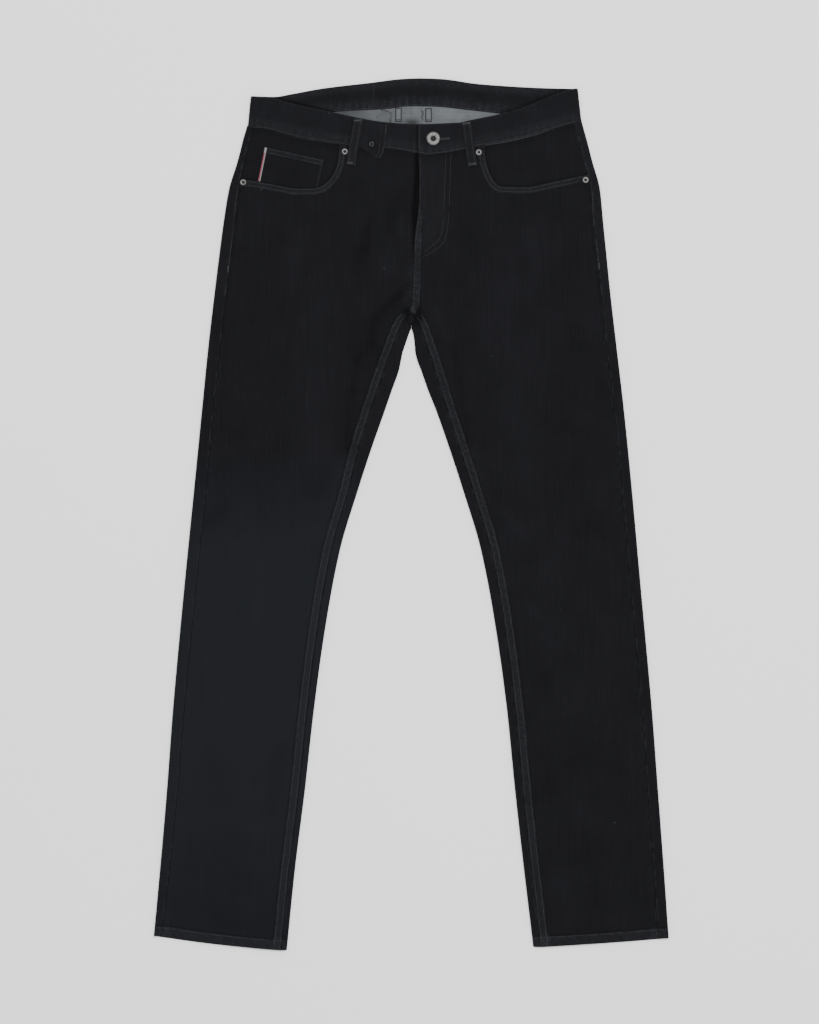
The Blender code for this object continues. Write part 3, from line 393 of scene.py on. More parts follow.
# Sewing: the threads of a bar, how far the rows of the waist, inseams and mouths run, and the
# level above which a row inside the waist doesn't show
BAR_PITCH = 0.62
BAR_WIDTH = 2.6
BAR_HALF = 5.0
WAIST_SPAN = (-200.0, 207.0)
INSEAM_SEWN_TOP = 253.0
MOUTH_SEWN_END = 11.1
INSIDE_LEVEL = 4.6

# The pitch of the twill's lines, in metres
TWILL_PITCH = 0.00105

# The stage in metres: floor, width that the camera sees, and lights as place, size and power
FLOOR_REACH = 6.0
FLOOR_LEVEL = -0.0003
VIEW_WIDTH = 1.2984
CAMERA_PLACE = (-0.0023, 0.0023)
LIGHTS = (("key_light", (4.9, 3.7, 3.3), 2.2, 1790.0), ("over_light", (0.8, 1.0, 6.4), 3.4, 610.0))
ROOM_LIGHT = 0.76

# Distances from an edge at which its rounding has a line of points, and its greatest drop
EDGE_STEPS = np.array((0.0, 0.2, 0.5, 0.9, 1.4))
ROUND_LIMIT = 0.55

# Lines of points of a back near its side fold, and rows above a leg's hem
BACK_STEPS = np.array((4.0, 8.0, 12.0, 13.5, 15.0, 17.0, 19.0, 20.5, 22.0, 24.0))
HEM_STEPS = (15.0, 12.5, 8.0, 4.0, 1.4, 0.5, 0.0)

# The mark of a felled seam at its edge, and the ways inwards at a pocket mouth's two ends
HEM_MARK = 1.6
MOUTH_START_WAY = np.array((-0.99, -0.14))
MOUTH_END_WAY = np.array((-0.25, -0.97))

# Sizes of JeansLooks that aren't lengths
COUNTS = ("front_columns", "back_columns", "crease_share")


class JeansLooks(bpy.types.PropertyGroup):
    """Sizes of what the scene adds to the cloth."""

    row_pitch: FloatProperty(
        name="Row pitch", description="Distance between two rows of a leg panel's mesh",
        default=0.0033, unit="LENGTH", subtype="DISTANCE")
    front_columns: IntProperty(
        name="Front columns", description="Lines of points between a front's two edge strips",
        default=58)
    back_columns: IntProperty(
        name="Back columns", description="Lines of points across a back panel's floor side",
        default=32)
    edge_roll: FloatProperty(
        name="Edge roll", description="Radius of a single cloth's rounded edge",
        default=0.0005, unit="LENGTH", subtype="DISTANCE")
    crease_share: FloatProperty(
        name="Crease share", description="Strength of the smaller creases, 1 as tabled",
        default=1.5, subtype="FACTOR")
    unevenness: FloatProperty(
        name="Unevenness", description="Height of the cloth's soft unevenness",
        default=0.0002, unit="LENGTH", subtype="DISTANCE")
    roping: FloatProperty(
        name="Roping", description="Height of the slanting ripples along felled seams and hems",
        default=0.0003, unit="LENGTH", subtype="DISTANCE")
    roping_pitch: FloatProperty(
        name="Roping pitch", description="Distance between two ripples of a seam or hem",
        default=0.0092, unit="LENGTH", subtype="DISTANCE")
    stitch_pitch: FloatProperty(
        name="Stitch pitch", description="Distance from one stitch to the next",
        default=0.0031, unit="LENGTH", subtype="DISTANCE")
    stitch_length: FloatProperty(
        name="Stitch length", description="Length of the thread that shows in one stitch",
        default=0.0021, unit="LENGTH", subtype="DISTANCE")
    thread: FloatProperty(
        name="Thread", description="Thickness of the sewing thread",
        default=0.00056, unit="LENGTH", subtype="DISTANCE")
    camera_height: FloatProperty(
        name="Camera height", description="Height of the camera above the floor",
        default=12.0, unit="LENGTH", subtype="DISTANCE")


def looks():
    """The sizes as this scene has them, lengths in millimetres."""
    found = bpy.context.scene.jeans_looks
    values = {name: getattr(found, name) for name in JeansLooks.__annotations__}
    return {name: value if name in COUNTS else value / MM for name, value in values.items()}


def smooth(table, at):
    """Read a smooth curve through a table of (place, value) pairs, without overshoot."""
    places, values = np.array(sorted(table), float).T
    steps = np.diff(places)
    slopes = np.diff(values) / steps
    tangents = np.concatenate(([slopes[0]], np.zeros(len(slopes) - 1), [slopes[-1]]))
    same = slopes[:-1] * slopes[1:] > 0.0
    mean = 2.0 * slopes[:-1] * slopes[1:] / np.where(same, slopes[:-1] + slopes[1:], 1.0)
    tangents[1:-1] = np.where(same, mean, 0.0)
    at = np.asarray(at, float)
    cell = np.clip(np.searchsorted(places, at) - 1, 0, len(steps) - 1)
    share = (at - places[cell]) / steps[cell]
    inside = unit(share)
    cubic = ((2 * inside**3 - 3 * inside**2 + 1) * values[cell]
             + (inside**3 - 2 * inside**2 + inside) * steps[cell] * tangents[cell]
             + (3 * inside**2 - 2 * inside**3) * values[cell + 1]
             + (inside**3 - inside**2) * steps[cell] * tangents[cell + 1])
    before = np.minimum(share, 0.0) * steps[cell] * tangents[0]
    after = np.maximum(share - 1.0, 0.0) * steps[cell] * tangents[-1]
    return cubic + before + after


def column(rows, names, wanted):
    """Pair one named column of a table with the table's first column."""
    place = names.index(wanted)
    return [(row[0], row[place]) for row in rows]


def unit(value):
    """A value held between 0 and 1."""
    return np.clip(value, 0.0, 1.0)


def ramp(value, start, end):
    """Rise smoothly from 0 at start to 1 at end."""
    share = unit((np.asarray(value, float) - start) / (end - start))
    return share * share * (3.0 - 2.0 * share)


def bell(distance, width):
    """Bell curve of a distance: exp(-(distance / width)^2)."""
    return np.exp(-(distance / width) ** 2)


def direction(way):
    """Ways brought to a length of one."""
    return way / np.linalg.norm(way, axis=-1, keepdims=True)


def layers(x, y, *levels):
    """One grid of points for each level, over the same places."""
    return [np.stack(np.broadcast_arrays(x, y, level), -1) for level in levels]


def run_lengths(points):
    """The length run along a line of points, at each of them."""
    return np.concatenate(([0.0], np.cumsum(np.linalg.norm(np.diff(points, axis=0), axis=-1))))


def read_curve(points, lengths, at):
    """Places on the smooth curve through some points, at lengths run along it."""
    return np.stack([smooth(list(zip(lengths, points[:, axis])), at) for axis in (0, 1)], -1)


def side_line(side, line, y):
    """Distance from the middle of the side fold or outseam of one side."""
    return smooth(column(SIDE_ROWS, SIDE_COLUMNS, side + "_" + line), y)


def inner_line(side, line, y):
    """Distance from the middle of the inner fold or inseam of one leg."""
    return smooth(column(INNER_ROWS, INNER_COLUMNS, side + "_" + line), y)


def inseam_place(side, y):
    """Place of a leg's inseam, from the crotch down."""
    lower = column(INNER_ROWS, INNER_COLUMNS, side + "_inseam")
    return smooth(list(INSEAM_TOP[side]) + lower, y)


def centre_edge(side, y):
    """Place of a front's edge along the fly, measured towards its own side."""
    return SIDES[side] * smooth(column(CENTRE_ROWS, CENTRE_COLUMNS, side + "_edge"), y)


def line_relief(x, y, table):
    """Height of soft ridges and hollows: each a bell curve of the distance from its line."""
    height = np.zeros(np.broadcast(x, y).shape)
    for x0, y0, x1, y1, half_width, rise in table:
        run_x, run_y = x1 - x0, y1 - y0
        share = ((x - x0) * run_x + (y - y0) * run_y) / (run_x**2 + run_y**2)
        near = unit(share)
        apart = np.hypot(x - x0 - near * run_x, y - y0 - near * run_y)
        height += rise * bell(apart, half_width)
    return height


def unevenness(x, y, size, seed):
    """Soft unevenness from -1 to 1: seeded heights on a square lattice, blended smoothly."""
    lattice = np.random.default_rng(seed).uniform(-1.0, 1.0, (64, 64))
    u, v = np.asarray(x, float) / size, np.asarray(y, float) / size
    i, j = np.floor(u).astype(int), np.floor(v).astype(int)
    s, t = ramp(u - i, 0.0, 1.0), ramp(v - j, 0.0, 1.0)
    low = lattice[i % 64, j % 64] * (1.0 - s) + lattice[(i + 1) % 64, j % 64] * s
    high = lattice[i % 64, (j + 1) % 64] * (1.0 - s) + lattice[(i + 1) % 64, (j + 1) % 64] * s
    return low * (1.0 - t) + high * t


def folds_only(x, y):
    """Height of the main folds and of the smaller creases, both without the rest."""
    limit = ramp(y, FOLD_LIMIT_Y[0], FOLD_LIMIT_Y[1])
    below_pockets = ramp(y, FOLD_LIMIT_Y[0] + 22.0, FOLD_LIMIT_Y[1] + 22.0)
    small = looks()["crease_share"] * line_relief(x, y, CREASES) * below_pockets
    return line_relief(x, y, MAIN_FOLDS) * limit, small


def cloth_relief(x, y):
    """Height of the upper side: main folds, the swell over the fly, creases, unevenness."""
    x, y = np.broadcast_arrays(np.asarray(x, float), np.asarray(y, float))
    now = looks()
    swell_x, swell_y, wide, long, rise = FLY_SWELL
    swell = rise * bell(x - swell_x, wide) * bell(y - swell_y, long)
    main, small = folds_only(x, y)
    rough = now["unevenness"] * (unevenness(x, y, 21.0, 3) + 0.6 * unevenness(x, y, 8.5, 4))
    return main + swell + small + rough


def roping(along, across, seed):
    """Slanting ripples of a sewn edge, as a wave whose pitch and height wander."""
    now = looks()
    drift = 0.9 * unevenness(along, along * 0.0 + seed, 31.0, seed)
    strength = 0.65 + 0.35 * unevenness(along, along * 0.0 + 7.0, 23.0, seed + 1)
    wave = np.sin(2.0 * math.pi * ((along + 0.7 * across) / now["roping_pitch"] + drift))
    return now["roping"] * strength * wave


def back_lift(side, across, y):
    """Height of the back over its pockets and loops, none at the side folds and legs."""
    inwards = side_line(side, "fold", y) - across
    return POCKET_LIFT * ramp(inwards, LIFT_START, LIFT_FULL) * ramp(y, LIFT_FOOT, LIFT_TOP)


def below_band(side, x):
    """Where a yoke ends below the waistband's back."""
    return smooth(BACK_LOW, SIDES[side] * x) + 1.2 * GAP


def rounding(distance, radius):
    """Drop of a rounded edge: a quarter circle of that radius, by distance from the edge."""
    near = unit(1.0 - np.asarray(distance, float) / radius)
    return radius * (1.0 - np.sqrt(1.0 - 0.98 * near**2))


def edge_shares(length, count, both=False):
    """Shares of a length, dense at its start, and at both ends if wanted."""
    length = np.asarray(length, float)
    scale = np.minimum(1.0 / length, 0.25 / EDGE_STEPS[-1])
    near = EDGE_STEPS * scale
    stop = 1.0 - near[..., -1:] if both else np.ones_like(near[..., -1:])
    middle = near[..., -1:] + (stop - near[..., -1:]) * np.linspace(0.0, 1.0, count)[1:]
    parts = [near, middle]
    if both:
        parts.append(1.0 - near[..., -2::-1])
    return np.concatenate(parts, -1)


def hem_mark(*parts):
    """One value for the bands of felled seams and hems, falling by 1 from edge to far line."""
    return np.max([np.clip(HEM_MARK - from_edge / width, 0.0, HEM_MARK) * share
                   for from_edge, width, share in parts], axis=0)


def bow_hem(side, x, y, hem_up):
    """Let a leg's hem sag in the middle, less and less up the leg."""
    hem_outer, hem_inner = HEM_Y[side]
    start, end = inner_line(side, "fold", hem_inner), side_line(side, "fold", hem_outer)
    share = unit((x - start) / (end - start))
    drop, bow = HEM_BOW[side]
    return y - (drop + 4.0 * bow * share * (1.0 - share)) * (1.0 - ramp(hem_up, 4.0, 90.0))


def lean_in(outer, inner, drop):
    """Move the outer points towards the inner ones by a distance, and the inner ones less."""
    way = inner - outer
    way = way / np.maximum(np.linalg.norm(way, axis=-1, keepdims=True), 1e-9)
    return outer + way * drop[..., None], inner - way * 0.35 * drop[..., None]


def finish_leg(side, outer, inner, drop, hem_up):
    """Round a leg panel's edges and its hem, and let the hem sag."""
    drop = np.minimum(drop + rounding(hem_up, 0.7), ROUND_LIMIT)
    grids = lean_in(outer, inner, drop)
    for grid in grids:
        grid[..., 1] = bow_hem(side, grid[..., 0], grid[..., 1], hem_up)
    return grids


def flip_side(side, *grids):
    """Turn distances from the middle into places on the wearer's right or left."""
    return [grid * (SIDES[side], 1.0, 1.0) for grid in grids]


def add_values(mesh, label, numbers):
    """Store one number for every point of a mesh."""
    attribute = mesh.attributes.new(label, "FLOAT", "POINT")
    attribute.data.foreach_set("value", np.asarray(numbers, np.float32).ravel())


def piece(name, points, faces, slot, values=None, sharp=50.0):
    """Make one object of a closed mesh, faces outwards, riding on the garment's body."""
    fan = [faces[:, (0, turn, turn + 1)] for turn in range(1, faces.shape[1] - 1)]
    volume = sum(np.einsum("ij,ij->i", points[t[:, 0]],
                           np.cross(points[t[:, 1]], points[t[:, 2]])).sum() for t in fan)
    if volume < 0.0:
        faces = faces[:, ::-1]
    mesh = bpy.data.meshes.new(name)
    mesh.vertices.add(len(points))
    mesh.vertices.foreach_set("co", (points * MM).astype(np.float32).ravel())
    mesh.loops.add(faces.size)
    mesh.loops.foreach_set("vertex_index", faces.astype(np.int32).ravel())
    mesh.polygons.add(len(faces))
    starts = np.arange(0, faces.size, faces.shape[1], dtype=np.int32)
    mesh.polygons.foreach_set("loop_start", starts)
    mesh.update(calc_edges=True)
    for label, numbers in (values or {}).items():
        add_values(mesh, label, numbers)
    mesh.shade_smooth()
    mesh.set_sharp_from_angle(angle=math.radians(sharp))
    mesh.materials.append(finish_named(slot))
    made = bpy.data.objects.new(name, mesh)
    bpy.context.scene.collection.objects.link(made)
    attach(made, "root")
    return made


def shell(name, outer, inner, slot, marks=None, wrong=1.0):
    """Close an outer and an inner grid of points into one thin shell, walled at its rim.

    Marks are grids of values for its finish: wear with painted highlight, painted shade and hem,
    each for the outer side, or for the inner side with _under after its name. Wear and painted
    shade are held between 0 and 1.
    """
    rows, columns = outer.shape[:2]
    count = rows * columns
    index = np.arange(count).reshape(rows, columns)
    face = np.stack((index[:-1, :-1].ravel(), index[:-1, 1:].ravel(),
                     index[1:, 1:].ravel(), index[1:, :-1].ravel()), 1)
    rim = np.concatenate((index[0, :-1], index[:-1, -1], index[-1, :0:-1], index[:0:-1, 0]))
    after = np.roll(rim, -1)
    walls = np.stack((after, rim, rim + count, after + count), 1)
    points = np.concatenate((outer.reshape(-1, 3), inner.reshape(-1, 3)))
    marks = marks or {}
    values = {"wrong": np.repeat((0.0, wrong), count)}
    for label, most in (("wear", 1.0), ("shade", 1.0), ("hem", HEM_MARK)):
        both = (marks.get(label, 0.0), marks.get(label + "_under", 0.0))
        values[label] = [np.broadcast_to(np.clip(part, 0.0, most), (rows, columns))
                         for part in both]
    faces = np.concatenate((face, face[:, ::-1] + count, walls))
    return piece(name, points, faces, slot, values)


def lay_sheet(made, outer, inner, held="laid", rests_on=()):
    """Work out the middle surface of a sheet and its diagonal steps; nothing more is done with
    them.
    """
    middle = (outer + inner) * 0.5 * MM
    a, b = middle[1:, 1:] - middle[:-1, :-1], middle[1:, :-1] - middle[:-1, 1:]


def refine(values, pitch, fewest=3):
    """Positions in a table of rows, spread so that rows lie about a pitch apart."""
    spans = np.abs(np.diff(np.asarray(values, float), axis=0)).max(1)
    counts = np.maximum(np.ceil(spans / pitch).astype(int), fewest)
    parts = [rank + np.arange(count) / count for rank, count in enumerate(counts)]
    return np.concatenate(parts + [[len(spans)]])


def mouth_points(side, at):
    """Points at given shares of a pocket mouth's length, and its inward directions."""
    y = MOUTH_CORNER_Y[side]
    points = np.array(MOUTHS[side] + ((float(side_line(side, "outseam", y)), y),), float)
    lengths = run_lengths(points)
    at = np.asarray(at, float) * lengths[-1]
    behind, place, ahead = (
        read_curve(points, lengths, np.clip(at + move, 0.0, lengths[-1]))
        for move in (-0.5, 0.0, 0.5))
    along = direction(ahead - behind)
    return place, np.stack((along[:, 1], -along[:, 0]), -1)


def front_edges(side):
    """Both ends of every fine row of a front, with the ways inwards and the strips' sizes."""
    last = MOUTH_ROWS - 1
    rank = np.linspace(0.0, last, last * 5 + 1)
    mouth, inwards = mouth_points(side, rank / last)
    waist_y = float(smooth(FRONT_LOW, SIDES[side] * 7.0)) - GAP
    first = unit(1.0 - rank)[:, None]
    final = unit(rank - last + 1.0)[:, None]
    way = direction(inwards * (1.0 - first - final) + MOUTH_START_WAY * first
                    + MOUTH_END_WAY * final)
    mouth_inner_y = waist_y + (MOUTH_FOOT_Y - waist_y) * rank / last
    hem_outer, hem_inner = HEM_Y[side]
    coarse = np.array([(MOUTH_CORNER_Y[side], MOUTH_FOOT_Y), *FRONT_ROWS, *LEG_ROWS,
                       *[(hem_outer + up, hem_inner + up) for up in HEM_STEPS]])
    spots = refine(coarse, looks()["row_pitch"], 2)[1:]
    rows = np.stack([np.interp(spots, np.arange(len(coarse)), coarse[:, axis])
                     for axis in (0, 1)], -1)
    low = np.stack((side_line(side, "outseam", rows[:, 0]), rows[:, 0]), -1)
    turn = unit(1.0 - spots)[:, None]
    low_way = direction(np.array((-1.0, 0.0)) * (1.0 - turn) + MOUTH_END_WAY * turn)
    inner_y = np.concatenate((mouth_inner_y, rows[:, 1]))
    above = inner_y >= CENTRE_ROWS[-1][0]
    inner_x = np.where(above, centre_edge(side, inner_y), inseam_place(side, inner_y))
    below = ramp(inner_y, 262.0, 250.0)
    high = FLY_STRIP[1] if side == "left" else 0.0
    mouth_share = np.concatenate((np.ones(len(mouth)), ramp(spots, 0.8, 0.0)))
    return {
        "outer": np.concatenate((mouth, low)),
        "outer_way": np.concatenate((way, low_way)),
        "inner": np.stack((inner_x, inner_y), -1),
        "outer_high": OUTSEAM_RIDGE + (MOUTH_HEM[1] - OUTSEAM_RIDGE) * mouth_share,
        "inner_wide": FLY_STRIP[0] + (INSEAM_STRIP[0] - FLY_STRIP[0]) * below,
        "inner_high": high + (INSEAM_STRIP[1] - high) * below,
        "above_hem": np.concatenate((np.full(len(mouth), FAR), rows[:, 0] - hem_outer)),
        "mouth_rank": np.concatenate((rank, np.full(len(rows), FAR))),
        "below": below,
    }


def front_grids(side):
    """Outer and inner grids of a front, and its wear, painted highlight, painted shade and hem.

    A row runs straight from its outer end to its inner end. Its height is the leg's, plus the
    relief of the cloth, a flat-topped strip along each edge, the hem and the ripples of both.
    """
    now = looks()
    edge = front_edges(side)
    out, way, end = edge["outer"], edge["outer_way"], edge["inner"]
    across = direction(out - end)
    wide_out = MOUTH_HEM[0] + STEP
    wide_in = edge["inner_wide"] + STEP
    steps_out = np.concatenate((EDGE_STEPS, np.linspace(2.2, 6.8, 6), np.linspace(7.6, 9.1, 4)))
    steps_in = np.concatenate((EDGE_STEPS, np.linspace(2.4, 10.2, 9),
                               np.linspace(11.0, 12.5, 4)))
    near_out = out[:, None] + way[:, None] * steps_out[:, None]
    scaled = steps_in * (wide_in / steps_in[-1])[:, None]
    near_in = end[:, None] + across[:, None] * scaled[..., None]
    shares = np.linspace(0.0, 1.0, now["front_columns"])[1:-1]
    start, stop = near_out[:, -1:], near_in[:, -1:]
    middle = start + (stop - start) * shares[:, None]
    place = np.concatenate((near_out, middle, near_in[:, ::-1]), 1)
    from_out = np.concatenate((steps_out, np.full(len(shares) + len(steps_in), FAR)))[None, :]
    from_in = np.concatenate((np.full((len(out), len(steps_out) + len(shares)), FAR),
                              scaled[:, ::-1]), 1)
    waist = unit(1.0 - edge["mouth_rank"])[:, None]
    seam = smooth(FRONT_LOW, SIDES[side] * place[..., 0]) + TUCK
    place[..., 1] += (np.minimum(seam, place[..., 1] + 40.0) - place[..., 1]) * waist
    x, y = SIDES[side] * place[..., 0], place[..., 1]
    out_high, in_high = edge["outer_high"][:, None], edge["inner_high"][:, None]
    out_top = 1.0 - ramp(from_out, MOUTH_HEM[0], wide_out)
    in_top = 1.0 - ramp(from_in, edge["inner_wide"][:, None], wide_in[:, None])
    hem_up = edge["above_hem"][:, None] + 0.0 * x
    hem_top = LEG_HEM[1] * (1.0 - ramp(hem_up, LEG_HEM[0], LEG_HEM[0] + STEP))
    rises = np.maximum(np.maximum(out_high * out_top, in_high * in_top), hem_top)
    below = edge["below"][:, None]
    seam_waves = roping(y, from_in, 11) * in_top * below * ramp(hem_up, 10.0, 30.0)
    fly_waves = roping(y * 1.15, from_in * 0.3, 12) * in_top * (1.0 - below)
    fly_waves *= ramp(y, 395.0, 370.0) * (1.2 if side == "left" else 0.5)
    mouth_waves = 0.5 * roping(x * 1.2, from_out, 13) * out_top * (out_high > 0.6)
    seam_pucker = 0.3 * roping(y * 0.8, from_out, 15) * out_top * (out_high < 0.6)
    hem_waves = roping(x, hem_up, 14) * (hem_top / LEG_HEM[1]) * ramp(hem_up, 0.0, 3.0)
    ripple = seam_waves + fly_waves + mouth_waves + seam_pucker + hem_waves
    drop = rounding(from_out, now["edge_roll"]) + rounding(from_in, now["edge_roll"])
    level = LEG_HEIGHT + cloth_relief(x, y)
    outer, inner = layers(place[..., 0], y, level + rises + ripple, level - CLOTH)
    outer, inner = finish_leg(side, outer, inner, drop, hem_up)
    main, small = folds_only(x, y)
    crest = unit(ripple / now["roping"])
    at_mouth, on_fly = 1.0 * (out_high > 0.6), (1.0 - below) * ramp(y, 400.0, 376.0)
    lines = 0.5 * bell(from_out, 1.2) * at_mouth + 0.5 * bell(hem_up, 1.2)
    lines += seam_wear(y, from_in, 33) * below + 0.7 * seam_wear(y, 10.0 - from_in, 35) * below
    lines += 0.5 * in_top * below * (hem_up < 16.0) + 0.4 * out_top * (hem_up < 14.0)
    lines += 0.6 * seam_wear(y, from_out - 0.6, 37) * (1.0 - at_mouth)
    # Wear of crests, seams and edges, with painted highlight on the ridges of folds and creases
    wear = 0.35 * crest + 0.7 * lines + 0.12 * unit(main) + 0.2 * unit(small)
    wear += 0.14 * (side == "left") * ramp(x, 50.0, 38.0) * ramp(y, 318.0, 345.0)
    wear += 0.12 * (1.0 - below) * ramp(from_in, 16.0, 2.0) * ramp(y, 330.0, 300.0)
    # Painted shade in the troughs of folds and creases, and a painted shadow below the band
    shade = 0.4 * unit(-small) + 0.2 * unit(-main)
    shade += 0.3 * bell(smooth(FRONT_LOW, x) - y - 4.0, 5.0)
    # Painted shade in the groove beside the outseam, and in the hollows at the crotch
    lean = 0.1 + 0.9 * ramp(y, 190.0, 270.0)
    shade += 0.45 * bell(from_out - 2.0, 1.4) * (1.0 - at_mouth) * lean
    shade += crotch_pits(x, y)
    # Painted shadow of the fly's slit along the right front's edge
    if side == "right":
        shade += 0.85 * (1.0 - ramp(from_in, 0.5, 5.5)) * ramp(y, 318.0, 345.0)
    strip = on_fly if side == "left" else 0.0 * on_fly
    wide = np.where(below > 0.5, 10.0, 5.0 + 5.0 * ramp(y, 392.0, 335.0))
    hem = hem_mark((from_in, wide, np.maximum(below, strip)), (from_out, 8.8, at_mouth),
                   (hem_up, LEG_HEM[0], 1.0))
    return (*flip_side(side, outer, inner), {"wear": wear, "shade": shade, "hem": hem})


def crotch_pits(x, y):
    """Painted shade in the hollows on both sides of the bulky crossing and below it: bell curves.
    """
    return 1.5 * np.max([bell(x - middle, wide) * bell(y - level, long)
                         for middle, level, wide, long in CROTCH_PITS], axis=0)


def seam_wear(along, across, seed):
    """Broken light dashes along an edge: a bell curve across, unevenness along."""
    dashes = ramp(unevenness(along, along * 0.0 + seed, 7.0, seed), -0.2, 0.5)
    return 0.75 * bell(across, 1.3) * dashes


def turned_edge(fold_x, fold_y, across, along, height, wall, turn):
    """Points of a wall that turns up round a fold: half circles from floor to top.

    The outer half circle has half the height as its radius, the inner one a wall less.
    """
    radius = height / 2.0
    angle = np.asarray(turn, float) * math.pi
    sway, lift = np.sin(angle), -np.cos(angle)
    grids = []
    for reach in (radius, radius - wall):
        parts = (fold_x - across * radius + across * sway * reach,
                 fold_y - along * radius + along * sway * reach,
                 radius + lift * reach)
        grids += layers(*parts)
    return grids


def outseam_part(side, rows):
    """Grids of a wrapped panel from the outseam on top, round the side fold, to the floor."""
    fold = side_line(side, "fold", rows["fold_y"])
    seam = side_line(side, "outseam", rows["edge_y"]) + GAP
    radius = LEG_HEIGHT / 2.0
    shares = edge_shares(fold - radius - seam, 9)
    x = seam + (fold - radius - seam) * shares
    y = rows["edge_y"] + (rows["fold_y"] - rows["edge_y"]) * 0.5 * shares
    top = layers(x, y, LEG_HEIGHT, LEG_HEIGHT - CLOTH)
    turn = np.linspace(1.0, 0.0, 13)[1:]
    y = rows["edge_y"] + (rows["fold_y"] - rows["edge_y"]) * (1.0 - turn / 2.0)
    arc = turned_edge(fold, y, 1.0, 0.0, LEG_HEIGHT, CLOTH, turn)
    grids = [np.concatenate(pair, 1) for pair in zip(top, arc)]
    turns = np.concatenate((np.ones(shares.shape[1]), turn))
    topness = (1.0 - np.cos(turns * math.pi)) / 2.0 + 0.0 * grids[0][..., 0]
    from_edge = np.concatenate((shares * (fold - radius - seam),
                                np.full((len(shares), len(turn)), FAR)), 1)
    return grids, topness, from_edge


def inner_part(rows):
    """Grids of a wrapped panel from the floor to its inner end: round the fold or flat."""
    turn = rows["turn"]
    full, upright = ramp(turn, 0.75, 1.0), ramp(turn, 0.0, 0.5)
    steps = np.linspace(0.0, 1.0, 13)
    round_fold = (rows["in_x"], rows["in_y"], rows["across"], rows["along"], LEG_HEIGHT, CLOTH)
    arc = turned_edge(*round_fold, turn * steps * (0.85 + 0.15 * full))
    tips = turned_edge(*round_fold, turn)
    end_x, end_y = rows["end_x"], rows["end_y"]
    grids = []
    for rank, (level, top) in enumerate(((0.0, LEG_HEIGHT), (CLOTH, LEG_HEIGHT - CLOTH))):
        flat = layers(end_x + 6.0 * (1.0 - 0.85 * steps), rows["in_y"], level)[0]
        run = flat + (arc[rank] - flat) * upright[..., None]
        flat_tip, seam_tip = layers(end_x, end_y, level, top)
        tip = tips[rank] + (seam_tip - tips[rank]) * full[..., None]
        tip = flat_tip + (tip - flat_tip) * upright[..., None]
        grids.append((run, tip))
    length = np.linalg.norm(grids[0][1] - grids[0][0][:, -1:], axis=-1)
    shares = 1.0 - edge_shares(length, 8)[:, ::-1]
    made = []
    for run, tip in grids:
        start = run[:, -1:]
        strip = start + (tip - start) * shares[..., None]
        made.append(np.concatenate((run, strip[:, 1:]), 1))
    topness = unit((made[1][..., 2] - CLOTH) / (LEG_HEIGHT - 2.0 * CLOTH))
    near = (1.0 - shares[:, 1:]) * length
    from_edge = np.concatenate((np.full((len(shares), len(steps)), FAR), near), 1)
    return made, topness, from_edge


